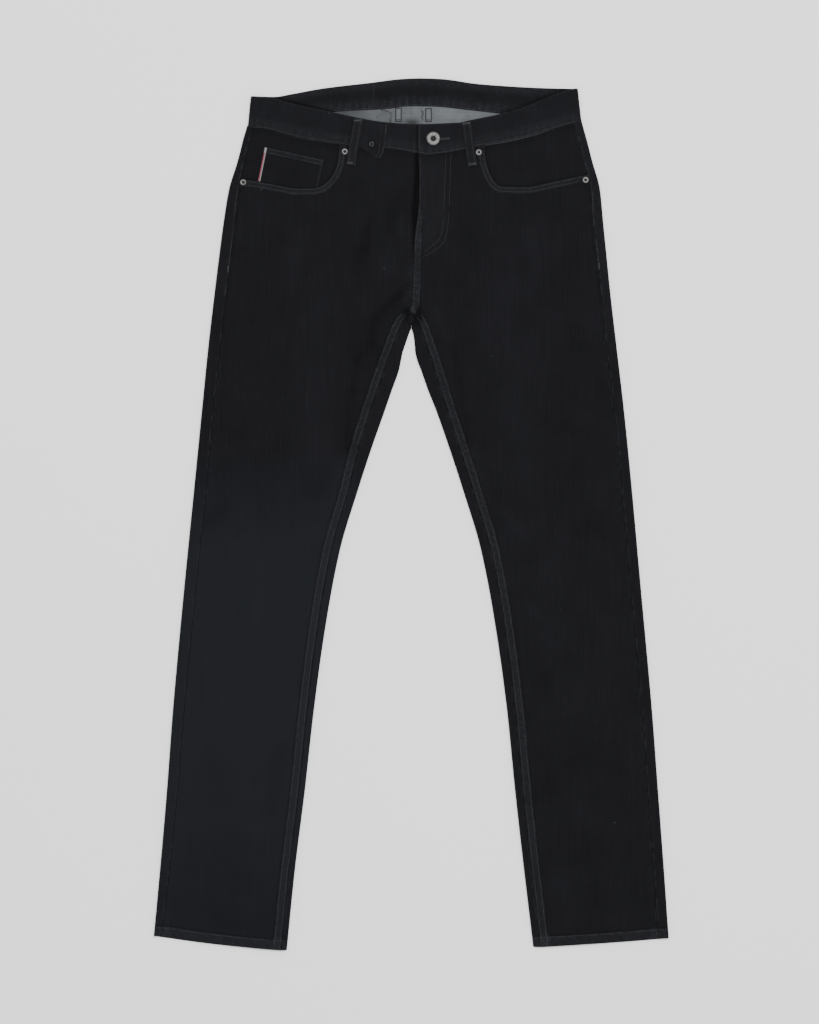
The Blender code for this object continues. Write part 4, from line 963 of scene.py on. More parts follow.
def wrapped_grids(side, rows):
    """Outer and inner grids of a back panel or a yoke, from outseam to inner edge, and its wear,
    painted highlight and painted shade.
    """
    now = looks()
    wrap, wrap_top, wrap_edge = outseam_part(side, rows)
    turn, turn_top, turn_edge = inner_part(rows)
    start, stop = wrap[0][:, -1:], turn[0][:, :1]
    width = start[..., 0] - stop[..., 0]
    fixed = BACK_STEPS / width
    spread = fixed[:, -1:] + (1.0 - fixed[:, -1:]) * np.linspace(
        0.0, 1.0, now["back_columns"])[1:-1]
    shares = np.concatenate((fixed, spread), 1)
    x = start[..., 0] + (stop[..., 0] - start[..., 0]) * shares
    y = start[..., 1] + (stop[..., 1] - start[..., 1]) * shares
    floor = layers(x, y, 0.0, CLOTH)
    outer, inner = (np.concatenate((wrap[k], floor[k], turn[k]), 1) for k in (0, 1))
    topness = np.concatenate((wrap_top, 0.0 * x, turn_top), 1)
    from_edge = np.concatenate((wrap_edge, 0.0 * x + FAR, turn_edge), 1)
    low = np.arange(outer.shape[1]) >= wrap_top.shape[1]
    flat = low[None, :] * (1.0 - ramp(topness, 0.0, 0.3))
    for grid in (outer, inner):
        seam = below_band(side, grid[..., 0])
        grid[..., 1] += (seam - grid[..., 1]) * rows["seam_share"] * flat
    place_x, place_y = SIDES[side] * outer[..., 0], outer[..., 1]
    hollow = line_relief(place_x, place_y, UNDER_HOLLOWS)
    lift = back_lift(side, outer[..., 0], place_y)
    raise_all = (cloth_relief(place_x, place_y) * topness + (hollow + lift) * flat
                 + rows["raise"])
    hem_up = rows["above_hem"] + 0.0 * place_x
    hem_top = 1.0 - ramp(hem_up, LEG_HEM[0], LEG_HEM[0] + STEP)
    hem_waves = roping(place_x, hem_up, 14) * hem_top * ramp(hem_up, 0.0, 3.0)
    pucker = 0.3 * roping(place_y * 0.8, from_edge, 15) * bell(from_edge, 5.0)
    ripple = hem_waves + pucker
    inner[..., 2] += raise_all
    outer[..., 2] += raise_all + (LEG_HEM[1] * hem_top + ripple) * topness
    drop = rounding(from_edge, now["edge_roll"])
    outer, inner = finish_leg(side, outer, inner, drop, hem_up)
    crest = unit(ripple / now["roping"]) * topness
    lean = 0.75 + 0.25 * ramp(place_y, 190.0, 270.0)
    lines = 0.4 * bell(hem_up, 1.2)
    lines += seam_wear(place_y, from_edge - 0.7, 31) * topness * lean
    # A light line along the side fold: worn, and a painted highlight where the fold's outer side
    # meets the light, stronger on the left
    fold_line = bell(topness - 0.55, 0.3) * (from_edge > 50.0)
    painted_fold_highlight = (0.3 if side == "right" else 0.5) * (place_x * SIDES[side] > 120.0)
    near_inseam = (place_x * SIDES[side] < 150.0) * (place_y < 243.0)
    # Painted shade in the groove beside the inseam and in the hollows at the crotch
    shade = 0.4 * bell(from_edge, 1.6) * topness * near_inseam
    shade += crotch_pits(place_x, place_y) * topness
    # Painted shade on the yokes' wrong side by place across, a painted cast shadow below the band
    # at the centre, and random unevenness
    painted_cast_shadow = 0.7 * bell(place_x - 1.0, 10.0) * ramp(place_y, 503.5, 497.0)
    inside = smooth(PAINTED_INSIDE_SHADE, place_x) + painted_cast_shadow + 0.1 * unevenness(place_x, place_y, 5.0, 23)
    lines += (0.14 if side == "left" else 0.06) * topness * ramp(place_y, 250.0, 330.0)
    marks = {"wear": 0.4 * crest + lines + (0.15 + painted_fold_highlight) * fold_line, "shade": shade,
             "hem": hem_mark((hem_up, 12.5, topness)), "shade_under": inside}
    return (*flip_side(side, outer, inner), marks)


def back_rows(side):
    """Every fine row of a back panel, read from the table of its main rows."""
    edge_y, fold_y, centre_y = YOKE_SEAM[side]
    corner_y = MOUTH_CORNER_Y[side]
    names = ("edge_y", "fold_y", "in_x", "in_y", "across", "along", "end_y", "turn")
    half = GAP / 2.0
    seam_y = centre_y - GAP
    table = [(edge_y - GAP, fold_y - GAP, half, seam_y, 0.0, -1.0, seam_y, 0.0)]
    for outer_y, inner_y in sorted(SEAT_ROWS + ((corner_y, corner_y - 7.5),), reverse=True):
        table.append((outer_y, outer_y, half, inner_y, 0.0, -1.0, inner_y, 0.0))
    for outer_y, *folds, in_y, across, along, end_y, turn in CROTCH_ROWS:
        table.append((outer_y, outer_y, folds[side == "left"], in_y, across, along, end_y, turn))
    first_leg = len(table)
    hem_outer, hem_inner = HEM_Y[side]
    hems = [(hem_outer + up, hem_inner + up) for up in HEM_STEPS]
    for outer_y, inner_y in [*LEG_ROWS, *hems]:
        table.append((outer_y, outer_y, float(inner_line(side, "fold", inner_y)), inner_y,
                      -1.0, 0.0, inner_y, 1.0))
    table = np.array(table)
    spots = refine(table[:, (0, 3, 6)], looks()["row_pitch"], 2)
    ranks = np.arange(len(table))
    rows = {}
    for place, name in enumerate(names):
        if name.endswith("_y"):
            rows[name] = np.interp(spots, ranks, table[:, place])[:, None]
        else:
            rows[name] = smooth(list(zip(ranks, table[:, place])), spots)[:, None]
    leg = (spots >= first_leg)[:, None]
    rows["in_x"] = np.where(leg, inner_line(side, "fold", rows["in_y"]), rows["in_x"])
    size = np.hypot(rows["across"], rows["along"])
    rows["across"], rows["along"] = rows["across"] / size, rows["along"] / size
    seam = np.maximum(inseam_place(side, rows["end_y"]) - GAP, half)
    rows["end_x"] = np.where((spots >= first_leg - 2)[:, None], seam, half)
    rows["above_hem"] = rows["edge_y"] - hem_outer
    rows["seam_share"] = rows["raise"] = 0.0 * rows["edge_y"]
    return rows


def yoke_rows(side):
    """Every fine row of a yoke, from the band's seam to the yoke seam."""
    sign = SIDES[side]
    seam_x = float(side_line(side, "outseam", 492.0))
    top = (float(smooth(FRONT_LOW, sign * seam_x)) + TUCK,
           float(smooth(FRONT_LOW, sign * BAND_FOLDS[side][1])) + TUCK,
           float(below_band(side, 0.0)))
    share = np.concatenate((np.linspace(0.0, 0.97, 24), (0.985, 0.995, 1.0)))[:, None]
    heights = [a + (b - a) * share for a, b in zip(top, YOKE_SEAM[side])]
    plain = 0.0 * share
    return {"edge_y": heights[0], "fold_y": heights[1], "in_x": plain + 0.02,
            "in_y": heights[2], "across": plain, "along": plain - 1.0,
            "end_x": plain + 0.02, "end_y": heights[2], "turn": plain,
            "above_hem": plain + FAR, "seam_share": 1.0 - share,
            "raise": 0.12 * (1.0 - ramp(share, 0.02, 0.08))}


def band_columns(top, low, base, turn=None, side=None):
    """Points of the band between its top and low edge, flat at a height or round a fold."""
    length = np.linalg.norm(top - low, axis=-1, keepdims=True)
    shares = edge_shares(length, 16, both=True)
    line = top[:, None] + (low - top)[:, None] * shares[..., None]
    near = np.minimum(shares, 1.0 - shares) * length
    down = shares * length
    if turn is None:
        grids = layers(line[..., 0], line[..., 1], *base)
    else:
        grids = turned_edge(line[..., 0], line[..., 1], 1.0, 0.0, BAND_HEIGHT, BAND,
                            turn[:, None])
        grids = flip_side(side, *grids)
    return grids[0], grids[1], near, down


def back_loop_top(x):
    """Where a back loop starts, just below the band's top edge."""
    return float(smooth(BACK_TOP, x)) - 1.0


def band_line(curve, x):
    """Points of one of the band's edges."""
    return np.stack((x, smooth(curve, x)), -1)


def waistband_grids():
    """Grids of the band from its end under the lap, round the back, to its lapped end."""
    radius = BAND_HEIGHT / 2.0
    right_top, right_low = (-fold + radius for fold in BAND_FOLDS["right"])
    left_top, left_low = (fold - radius for fold in BAND_FOLDS["left"])
    front = (BAND_HEIGHT, BAND_HEIGHT - BAND)
    x = np.linspace(UNDERLAP_END, right_top, 86)[1:-1]
    x = np.concatenate((UNDERLAP_END - EDGE_STEPS[:-1], x))
    low_x = x + (right_low - right_top) * (x - UNDERLAP_END) / (right_top - UNDERLAP_END)
    parts = [band_columns(band_line(FRONT_TOP, x), band_line(FRONT_LOW, low_x), front),
             band_fold("right", np.linspace(1.0, 0.0, 13))]
    x = np.linspace(right_top, left_top, 131)[1:-1]
    low_x = np.linspace(right_low, left_low, 131)[1:-1]
    parts.append(band_columns(band_line(BACK_TOP, x), band_line(BACK_LOW, low_x), (0.0, BAND)))
    parts.append(band_fold("left", np.linspace(0.0, 1.0, 13)))
    x = np.concatenate((np.linspace(left_top, LAP_FOOT, 46)[1:],
                        np.linspace(LAP_FOOT, LAP_EDGE + 1.4, 24)[1:-1],
                        LAP_EDGE + EDGE_STEPS[::-1]))
    low_x = np.maximum(x, x + (left_low - left_top) * (x - LAP_FOOT) / (left_top - LAP_FOOT))
    lap = band_columns(band_line(FRONT_TOP, x), band_line(FRONT_LOW, low_x), front)
    rise = (BAND + GAP) * ramp(x, LAP_FOOT, LAP_FULL)[:, None]
    lap[0][..., 2] += rise
    lap[1][..., 2] += rise
    parts.append(lap)
    outer, inner, near, down = (np.concatenate([part[k] for part in parts]) for k in range(4))
    count = len(outer)
    under_lap = np.arange(count)[:, None] < len(parts[0][0])
    steps = np.full(count, FAR)
    steps[:4] = EDGE_STEPS[:-1]
    steps[-5:] = EDGE_STEPS[::-1]
    near = np.minimum(near, steps[:, None])
    run = run_lengths(outer[:, outer.shape[1] // 2])[:, None]
    sits_low = outer[..., 2] < 0.5
    side = np.where(outer[..., 0] < 0.0, -1.0, 1.0)
    across = np.abs(outer[..., 0])
    lift = np.where(side < 0.0, back_lift("right", across, outer[..., 1]),
                    back_lift("left", across, outer[..., 1])) * sits_low
    level = 0.2 * unevenness(outer[..., 0], outer[..., 1], 16.0, 5)
    up = down[:, -1:] - down
    pucker = roping(run * 0.95 + 0.0 * down, down * 0.15, 17) * ramp(up, 16.0, 6.0) * 1.2
    upper = (1.0 - sits_low) * (level + 0.35 * pucker)
    outer[..., 2] += lift + upper
    inner[..., 2] += lift + np.where(sits_low, level * 0.6 + 0.8 * pucker, 0.4 * upper)
    outer, inner = lean_in(outer, inner, rounding(near, 1.15))
    crest = unit(pucker / 0.36)
    uneven = 0.05 * unevenness(outer[..., 0], outer[..., 1], 9.0, 21)
    # Wear with painted highlight: worn edges and puckers, and inside the back a painted light near
    # both edges for the band's curve
    wear = 0.5 * bell(near, 1.1) + 0.3 * crest + 0.2 * ramp(up, 18.0, 8.0)
    wear += 0.1 + uneven
    under = 0.3 * bell(near, 1.1) + 0.6 * crest + 0.2 * ramp(up, 15.0, 4.0)
    under += 0.14 + 0.26 * ramp(down, 13.0, 4.0) + uneven
    # Painted shade in the middle of the band's inside, a painted shadow line above the front
    # band's top edge, and a painted shadow beside the lap's edge
    shade = 0.25 * bell(up - 20.0, 6.0)
    over_front = outer[..., 1] - smooth(FRONT_TOP, outer[..., 0])
    shade += 0.9 * bell(over_front - 0.8, 2.4) * sits_low
    marks = {"wear": wear, "wear_under": under, "shade_under": shade,
             "shade": 0.9 * bell(outer[..., 0] - LAP_EDGE + 0.4, 1.5) * under_lap}
    return outer, inner, marks


def band_fold(side, turn):
    """The band's columns on their way round a side fold."""
    sign = SIDES[side]
    top_fold, low_fold = BAND_FOLDS[side]
    top = np.array((top_fold, float(smooth(FRONT_TOP, sign * top_fold))))
    low = np.array((low_fold, float(smooth(FRONT_LOW, sign * low_fold))))
    ends = [np.repeat(place[None], len(turn), 0) for place in (top, low)]
    return band_columns(*ends, None, turn, side)


def distance_to_mouth(side, x, y):
    """How far a place above a pocket mouth lies from the mouth, none below it."""
    mouth, inwards = mouth_points(side, np.linspace(0.0, 1.0, 61))
    away_x, away_y = x[..., None] - mouth[:, 0], y[..., None] - mouth[:, 1]
    apart = np.hypot(away_x, away_y)
    nearest = apart.argmin(-1)[..., None]
    inside = away_x * inwards[:, 0] + away_y * inwards[:, 1]
    below = np.take_along_axis(inside, nearest, -1)[..., 0] > 0.0
    return np.where(below, 0.0, apart.min(-1))


def facing_level(side, x, y):
    """Height of a facing's underside: high at its corner, low under the front."""
    rise = (LEG_HEIGHT - TRIM - UNDERLAY) * ramp(distance_to_mouth(side, x, y), *FACING_RAMP)
    return UNDERLAY + rise


def facing_grids(side):
    """Grids of a pocket facing: straight rows from the side seam to its inner edge."""
    down = np.linspace(0.0, 1.0, 60)[:, None]
    across = np.linspace(0.0, 1.0, 72)[None, :]
    top_x = float(side_line(side, "outseam", 488.0)) - GAP
    x_top = top_x + (FACING_INNER - top_x) * across
    top_y = smooth(FRONT_LOW, SIDES[side] * x_top) - 1.5 * GAP
    y = top_y + (FACING_FOOT - top_y) * down
    edge = side_line(side, "outseam", y) - GAP
    x = edge + (FACING_INNER - edge) * across
    base = facing_level(side, x, y)
    swell = 0.15 * unevenness(x, y, 14.0, 6) * ramp(distance_to_mouth(side, x, y), 4.0, 16.0)
    outer, inner = lean_in(*layers(x, y, base + TRIM + swell, base), rounding(edge - x, 0.4))
    # Painted shade next to the pocket mouth and a painted shadow below the band
    shade = 0.4 * bell(distance_to_mouth(side, x, y), 3.2)
    shade += 0.3 * bell(smooth(FRONT_LOW, SIDES[side] * x) - y - 4.0, 5.0)
    return (*flip_side(side, outer, inner), {"shade": shade})


def coin_grids():
    """Grids of the coin pocket: it lies on the right facing and ends at the pocket mouth."""
    corners = np.array(COIN_TOP, float)
    mouth = mouth_points("right", np.linspace(0.0, 1.0, 90))[0]
    down = edge_shares([40.0], 40)[:, None, None]
    across = edge_shares([75.0], 44, both=True)[None, :, None]
    top = corners[0] + (corners[1] - corners[0]) * across
    foot_x = COIN_FOOT[0] + (COIN_FOOT[1] - COIN_FOOT[0]) * across
    foot_y = np.interp(-foot_x, mouth[:, 0], mouth[:, 1]) + 3.0 * GAP
    low = np.concatenate((foot_x, foot_y), -1)
    place = top + (low - top) * down
    level = facing_level("right", -place[..., 0], place[..., 1]) + TRIM + GAP
    along = np.linalg.norm(low - top, axis=-1) * down[..., 0]
    side = np.minimum(across, 1.0 - across)[..., 0] * 75.0
    hem = 0.5 * (1.0 - ramp(along, 7.0, 8.5))
    waves = roping(place[..., 0], along, 18) * 0.35 * (along < 7.0)
    outer, inner = layers(place[..., 0], place[..., 1], level + TRIM + hem + waves, level)
    outer, inner = lean_in(outer, inner, rounding(np.minimum(along, side), 0.45))
    right = (1.0 - across[..., 0]) * 75.0
    wear = 0.5 * bell(along, 1.2) + 0.5 * bell(right - 1.0, 1.5)
    return outer, inner, {"wear": wear, "hem": hem_mark((along, 7.8, 1.0))}


def plate_grids(x, y, base, thick, radius=0.4):
    """Grids of a thin plate over a grid of places, with its rim rounded."""
    step_x, step_y = (np.hypot(np.gradient(x, axis=axis), np.gradient(y, axis=axis))
                      for axis in (1, 0))
    from_left, from_top = np.cumsum(step_x, 1) - step_x[:, :1], np.cumsum(step_y, 0) - step_y[:1]
    near = np.minimum(np.minimum(from_left, from_left[:, -1:] - from_left),
                      np.minimum(from_top, from_top[-1:] - from_top))
    return (*lean_in(*layers(x, y, base + thick, base), rounding(near, radius)), near)


def pocket_grids(side):
    """Grids of a five-sided back pocket, flat on the floor below the lifted seat."""
    share = edge_shares([[140.0]], 40, both=True)
    seat = POCKET_SPAN[0] + (POCKET_SPAN[1] - POCKET_SPAN[0]) * share
    point = (1.0 - np.abs(2.0 * share - 1.0)) * POCKET_POINT
    top = POCKET_TOP[0] + (POCKET_TOP[1] - POCKET_TOP[0]) * seat
    low = POCKET_CORNER[0] + (POCKET_CORNER[1] - POCKET_CORNER[0]) * seat - point
    y = top + (low - top) * share.T
    fold = side_line(side, "fold", y) - LEG_HEIGHT / 2.0
    x = fold + (6.0 - fold) * seat
    inner, outer, near = plate_grids(x, y, 0.0, TRIM)
    marks = {"wear": 0.5 * bell(near, 1.1), "hem": hem_mark((near, 8.0, 1.0))}
    return (*flip_side(side, outer, inner), marks)


def route_points(route, count=400):
    """Fine points along a smooth line through a few places."""
    points = np.array(route, float)
    lengths = run_lengths(points)
    return read_curve(points, lengths, np.linspace(0.0, lengths[-1], count))


def loop_grids(route, base):
    """Grids of a belt loop along its route, with a soft crown and both ends turned under."""
    line = route_points(route, 64)
    along = direction(np.gradient(line, axis=0))
    sideways = np.stack((along[:, 1], -along[:, 0]), -1)
    half = LOOP_WIDTH / 2.0
    right = np.array((0.2, 0.4, 0.6, 0.76, 0.88, 0.96, 1.0)) * half
    across = np.concatenate((-right[::-1], [0.0], right))
    place = line[:, None] + sideways[:, None] * across[:, None]
    share = np.linspace(0.0, 1.0, len(line))
    level = base + smooth(LOOP_LEVELS, share)[:, None] + 0.0 * place[..., 0]
    lengths = share * np.linalg.norm(np.diff(line, axis=0), axis=-1).sum()
    ends = np.minimum(lengths, lengths[::-1])[:, None]
    near = np.minimum(half - np.abs(across)[None, :], ends)
    crown = 0.25 * np.cos(np.clip(across / half, -1.0, 1.0) * math.pi / 2.0)[None, :]
    ripple = 0.25 * roping(lengths[:, None] + 0.0 * crown, across[None, :], 19)
    grids = layers(place[..., 0], place[..., 1], level + LOOP_THICK + crown + ripple, level)
    outer, inner = lean_in(*grids, rounding(near, 0.55))
    wear = 0.4 * bell(near, 1.0) + 0.4 * bell(ends, 4.0) + 0.12
    return outer, inner, {"wear": wear}


def tab_grids():
    """Grids of the riveted tab: straight rows from its left to its right edge."""
    rows = np.array(TAB_ROWS, float)
    y = np.concatenate((TAB_ROWS[0][0] - EDGE_STEPS,
                        np.linspace(492.0, 452.6, 40), TAB_ROWS[-1][0] + EDGE_STEPS[::-1]))
    left = smooth(list(zip(rows[:, 0], rows[:, 1])), y)[:, None]
    right = smooth(list(zip(rows[:, 0], rows[:, 2])), y)[:, None]
    shares = edge_shares(right - left, 20, both=True)
    x = left + (right - left) * shares
    y = y[:, None] + 0.0 * x
    seam = smooth(FRONT_LOW, x)
    level = LEG_HEIGHT + (BAND_HEIGHT - LEG_HEIGHT) * ramp(y, seam - 9.0, seam - 4.0) + GAP
    swell = 0.18 * unevenness(x, y, 9.0, 8)
    outer, inner, near = plate_grids(x, y, level, LOOP_THICK, 0.55)
    outer[..., 2] += swell * unit(near / 3.0) * 0.6
    wear = 0.45 * bell(right - x, 1.6) + 0.3 * bell(near, 1.0)
    return outer, inner, {"wear": wear}


def turned(name, profile, place, base, segments, slot, closed=False, wobble=None,
           stretch=(1.0, 1.0)):
    """Turn a profile of (radius, height) about an upright axis, and stretch it sideways.

    An open profile starts and ends on the axis, where a small ring is capped by one point.
    """
    angle = np.linspace(0.0, 2.0 * math.pi, segments, endpoint=False)[:, None]
    radii, heights = np.array(profile, float).T
    if not closed:
        radii = np.maximum(radii, 0.02)
    lift = heights[None] + (wobble(angle, radii[None]) if wobble else 0.0)
    points = np.stack((place[0] + stretch[0] * radii * np.cos(angle),
                       place[1] + stretch[1] * radii * np.sin(angle),
                       base + lift + 0.0 * angle), -1)
    count = len(radii)
    index = np.arange(segments * count).reshape(segments, count)
    ahead = np.roll(index, -1, 0)
    span = slice(None) if closed else slice(0, -1)
    after, after_ahead = np.roll(index, -1, 1), np.roll(ahead, -1, 1)
    a, b = index[:, span].ravel(), after[:, span].ravel()
    c, d = after_ahead[:, span].ravel(), ahead[:, span].ravel()
    faces = [np.stack((a, b, c), 1), np.stack((a, c, d), 1)]
    points = points.reshape(-1, 3)
    if not closed:
        for end, flip in ((0, False), (count - 1, True)):
            tip = len(points)
            ring, next_ring = index[:, end], ahead[:, end]
            points = np.concatenate((points, points[ring].mean(0)[None]))
            cap = np.stack((np.full(segments, tip), ring, next_ring), 1)
            faces.append(cap[:, ::-1] if flip else cap)
    return piece(name, points, np.concatenate(faces), slot, sharp=70.0)


def skin(*names):
    """A search tree over the faces of some objects, for laying things on them."""
    points, faces = [], []
    for name in names:
        mesh = bpy.data.objects[name].data
        offset = sum(len(block) for block in points)
        place = np.empty(len(mesh.vertices) * 3, np.float32)
        mesh.vertices.foreach_get("co", place)
        corner = np.empty(len(mesh.loops), np.int32)
        mesh.loops.foreach_get("vertex_index", corner)
        points.append(place.reshape(-1, 3).astype(float) / MM)
        faces.append(corner.reshape(len(mesh.polygons), -1) + offset)
    joined = np.concatenate(points)
    return BVHTree.FromPolygons(joined.tolist(), [f for part in faces for f in part.tolist()])


def settle(tree, places, below=False):
    """Where an upright line through each place meets the skin, and the skin's way up there."""
    start, way = (-5.0, 1.0) if below else (40.0, -1.0)
    found, normals = [], []
    for x, y in places:
        spot, normal, _, _ = tree.ray_cast((x, y, start), (0.0, 0.0, way))
        found.append((math.nan,) * 3 if spot is None else tuple(spot))
        normals.append((0.0, 0.0, -way) if normal is None else tuple(normal))
    return np.array(found), np.array(normals)


def spaced(points, pitch):
    """Places a pitch apart along a line of points, and the line's direction at each."""
    points = np.asarray(points, float)
    lengths = run_lengths(points)
    at = np.arange(0.5 * pitch, lengths[-1], pitch)
    behind, places, ahead = (
        np.stack([np.interp(at + move, lengths, points[:, axis]) for axis in (0, 1)], -1)
        for move in (-0.4, 0.0, 0.4))
    along = ahead - behind
    return places, along / np.maximum(np.linalg.norm(along, axis=1)[:, None], 1e-9)


def stitch_shape():
    """One stitch of unit half length and radius: a spindle of six sides with blunt ends."""
    stations = np.array((-0.86, -0.45, 0.45, 0.86))
    widths = np.array((0.62, 1.0, 1.0, 0.62))
    angle = np.arange(6) * math.pi / 3.0
    rings = np.stack((np.repeat(stations, 6), np.outer(widths, np.cos(angle)).ravel(),
                      np.outer(widths, np.sin(angle)).ravel()), 1)
    points = np.concatenate(([[-1.0, 0.0, 0.0]], rings, [[1.0, 0.0, 0.0]]))
    turn = np.arange(6)
    ahead = (turn + 1) % 6
    faces = [np.stack((0 * turn, 1 + turn, 1 + ahead), 1)]
    for ring in range(3):
        low, high = 1 + 6 * ring, 7 + 6 * ring
        faces.append(np.stack((low + turn, high + turn, high + ahead), 1))
        faces.append(np.stack((low + turn, high + ahead, low + ahead), 1))
    faces.append(np.stack((0 * turn + 25, 19 + ahead, 19 + turn), 1))
    return points, np.concatenate(faces)


def row(names, line, width=0.0, below=False, level=FAR):
    """One row of stitches on some pieces: plain along its line, or a bar of a width across it.

    It lies on the upper side or on the underside, and shows only below a level.
    """
    return names, line, width, below, level


def places(x, y):
    """A line of places, where x or y may be one number for all of them."""
    return np.stack(np.broadcast_arrays(x, y), -1)


def sew(name, rows):
    """Make one mesh of the stitches of many rows, each stitch laid along the cloth."""
    now = looks()
    shape, shape_faces = stitch_shape()
    radius = now["thread"] / 2.0
    skins = {names: skin(*names.split()) for names in sorted({each[0] for each in rows})}
    points, faces, total = [], [], 0
    for names, line, width, below, level in rows:
        spread, along = spaced(line, BAR_PITCH if width else now["stitch_pitch"])
        spots, up = settle(skins[names], spread, below)
        kept = np.nan_to_num(spots[:, 2], nan=FAR) < level
        spots, up, along = spots[kept], up[kept], along[kept]
        flat = np.zeros(len(along))
        ahead = np.column_stack((along, flat))
        if width:
            swing = np.where(np.arange(len(along)) % 2 == 0, 0.22, -0.22)[:, None]
            ahead = np.column_stack((-along[:, 1], along[:, 0], flat)) + ahead * swing
        ahead = direction(ahead - up * (ahead * up).sum(1)[:, None])
        aside = np.cross(up, ahead)
        local = shape * ((width or now["stitch_length"]) / 2.0, radius, radius * 0.8)
        sunk = np.minimum(0.3 * unevenness(spots[:, 0], spots[:, 1], 9.0, 10) - 0.01, 0.12)
        wobble = 0.12 * unevenness(spots[:, 0], spots[:, 1], 2.2, 9)
        made = (spots + up * sunk[:, None] + aside * wobble[:, None])[:, None]
        made = made + sum(local[:, axis, None] * way[:, None]
                          for axis, way in enumerate((ahead, aside, up)))
        points.append(made.reshape(-1, 3))
        steps = np.arange(len(spots))[:, None, None] * len(shape)
        faces.append((shape_faces[None] + steps).reshape(-1, 3) + total)
        total += len(points[-1])
    return piece(name, np.concatenate(points), np.concatenate(faces), "thread", sharp=80.0)


class Number:
    """A number inside a material, which adds, subtracts and multiplies like a plain one."""

    def __init__(self, finish, socket):
        self.finish, self.socket = finish, socket

    def math(self, operation, first, second=0.0):
        return self.finish.node("ShaderNodeMath", {"operation": operation},
                                {0: first, 1: second})

    def __add__(self, other):
        return self.math("ADD", self, other)

    def __sub__(self, other):
        return self.math("SUBTRACT", self, other)

    def __mul__(self, other):
        return self.math("MULTIPLY", self, other)

    def sine(self):
        return self.math("SINE", self)

    def between(self, low, high):
        """Rise from 0 at low to 1 at high, and stay within."""
        return self.finish.node("ShaderNodeMapRange", {"clamp": True},
                                {"Value": self, "From Min": low, "From Max": high})


class Finish:
    """A material and its node tree."""

    def __init__(self, name, roughness=0.8, metallic=0.0, **constants):
        self.material = bpy.data.materials.new(name)
        self.material.use_nodes = True
        self.tree = self.material.node_tree
        self.shader = self.tree.nodes["Principled BSDF"]
        self.shader.inputs["Roughness"].default_value = roughness
        self.shader.inputs["Metallic"].default_value = metallic
        for name_of, value in constants.items():
            self.shader.inputs[name_of.replace("_", " ")].default_value = value

    def feed(self, socket, value):
        if isinstance(value, Number):
            self.tree.links.new(value.socket, socket)
        else:
            socket.default_value = value

    def node(self, kind, settings=None, inputs=None, output=0):
        """Add any node, with its settings and inputs, and give one of its outputs."""
        made = self.tree.nodes.new(kind)
        for label, value in (settings or {}).items():
            setattr(made, label, value)
        for label, value in (inputs or {}).items():
            self.feed(made.inputs[label], value)
        return Number(self, made.outputs[output])

    def place(self, scale=1.0, turn=0.0):
        """Object coordinates in metres, turned about the upright and scaled, each or all."""
        whole = self.node("ShaderNodeTexCoord", output="Object")
        scale = scale if isinstance(scale, tuple) else (scale,) * 3
        return self.node("ShaderNodeMapping", None,
                         {"Vector": whole, "Scale": scale, "Rotation": (0.0, 0.0, turn)})

    def coordinate(self, axis, turn=0.0):
        """One coordinate in metres."""
        return self.node("ShaderNodeSeparateXYZ", None, {"Vector": self.place(turn=turn)}, axis)

    def noise(self, scale, detail=2.0, roughness=0.5):
        return self.node("ShaderNodeTexNoise", {"noise_dimensions": "3D"},
                         {"Vector": self.place(scale), "Scale": 1.0, "Detail": detail,
                          "Roughness": roughness}, "Fac")

    def cells(self, scale, output):
        """What scattered points give to the space nearest to them."""
        return self.node("ShaderNodeTexVoronoi", {"feature": "F1"},
                         {"Vector": self.place(scale), "Scale": 1.0}, output)

    def attribute(self, name):
        return self.node("ShaderNodeAttribute", {"attribute_name": name}, None, "Fac")

    def mix(self, share, first, second):
        """Mix two colours."""
        ends = [(*end, 1.0) if isinstance(end, tuple) and len(end) == 3 else end
                for end in (first, second)]
        return self.node("ShaderNodeMix", {"data_type": "RGBA"},
                         {0: share, 6: ends[0], 7: ends[1]}, 2)

    def colour(self, value):
        self.feed(self.shader.inputs["Base Color"], value)

    def rough(self, value):
        self.feed(self.shader.inputs["Roughness"], value)

    def bump(self, height, depth, strength=1.0):
        """Feed a height from 0 to 1 into the normal, as a bump of that depth in metres."""
        normal = self.node("ShaderNodeBump", None,
                           {"Height": height, "Distance": depth, "Strength": strength})
        self.feed(self.shader.inputs["Normal"], normal)


def dimmed(colour, share):
    """A colour at a share of its brightness."""
    return tuple(share * part for part in colour)


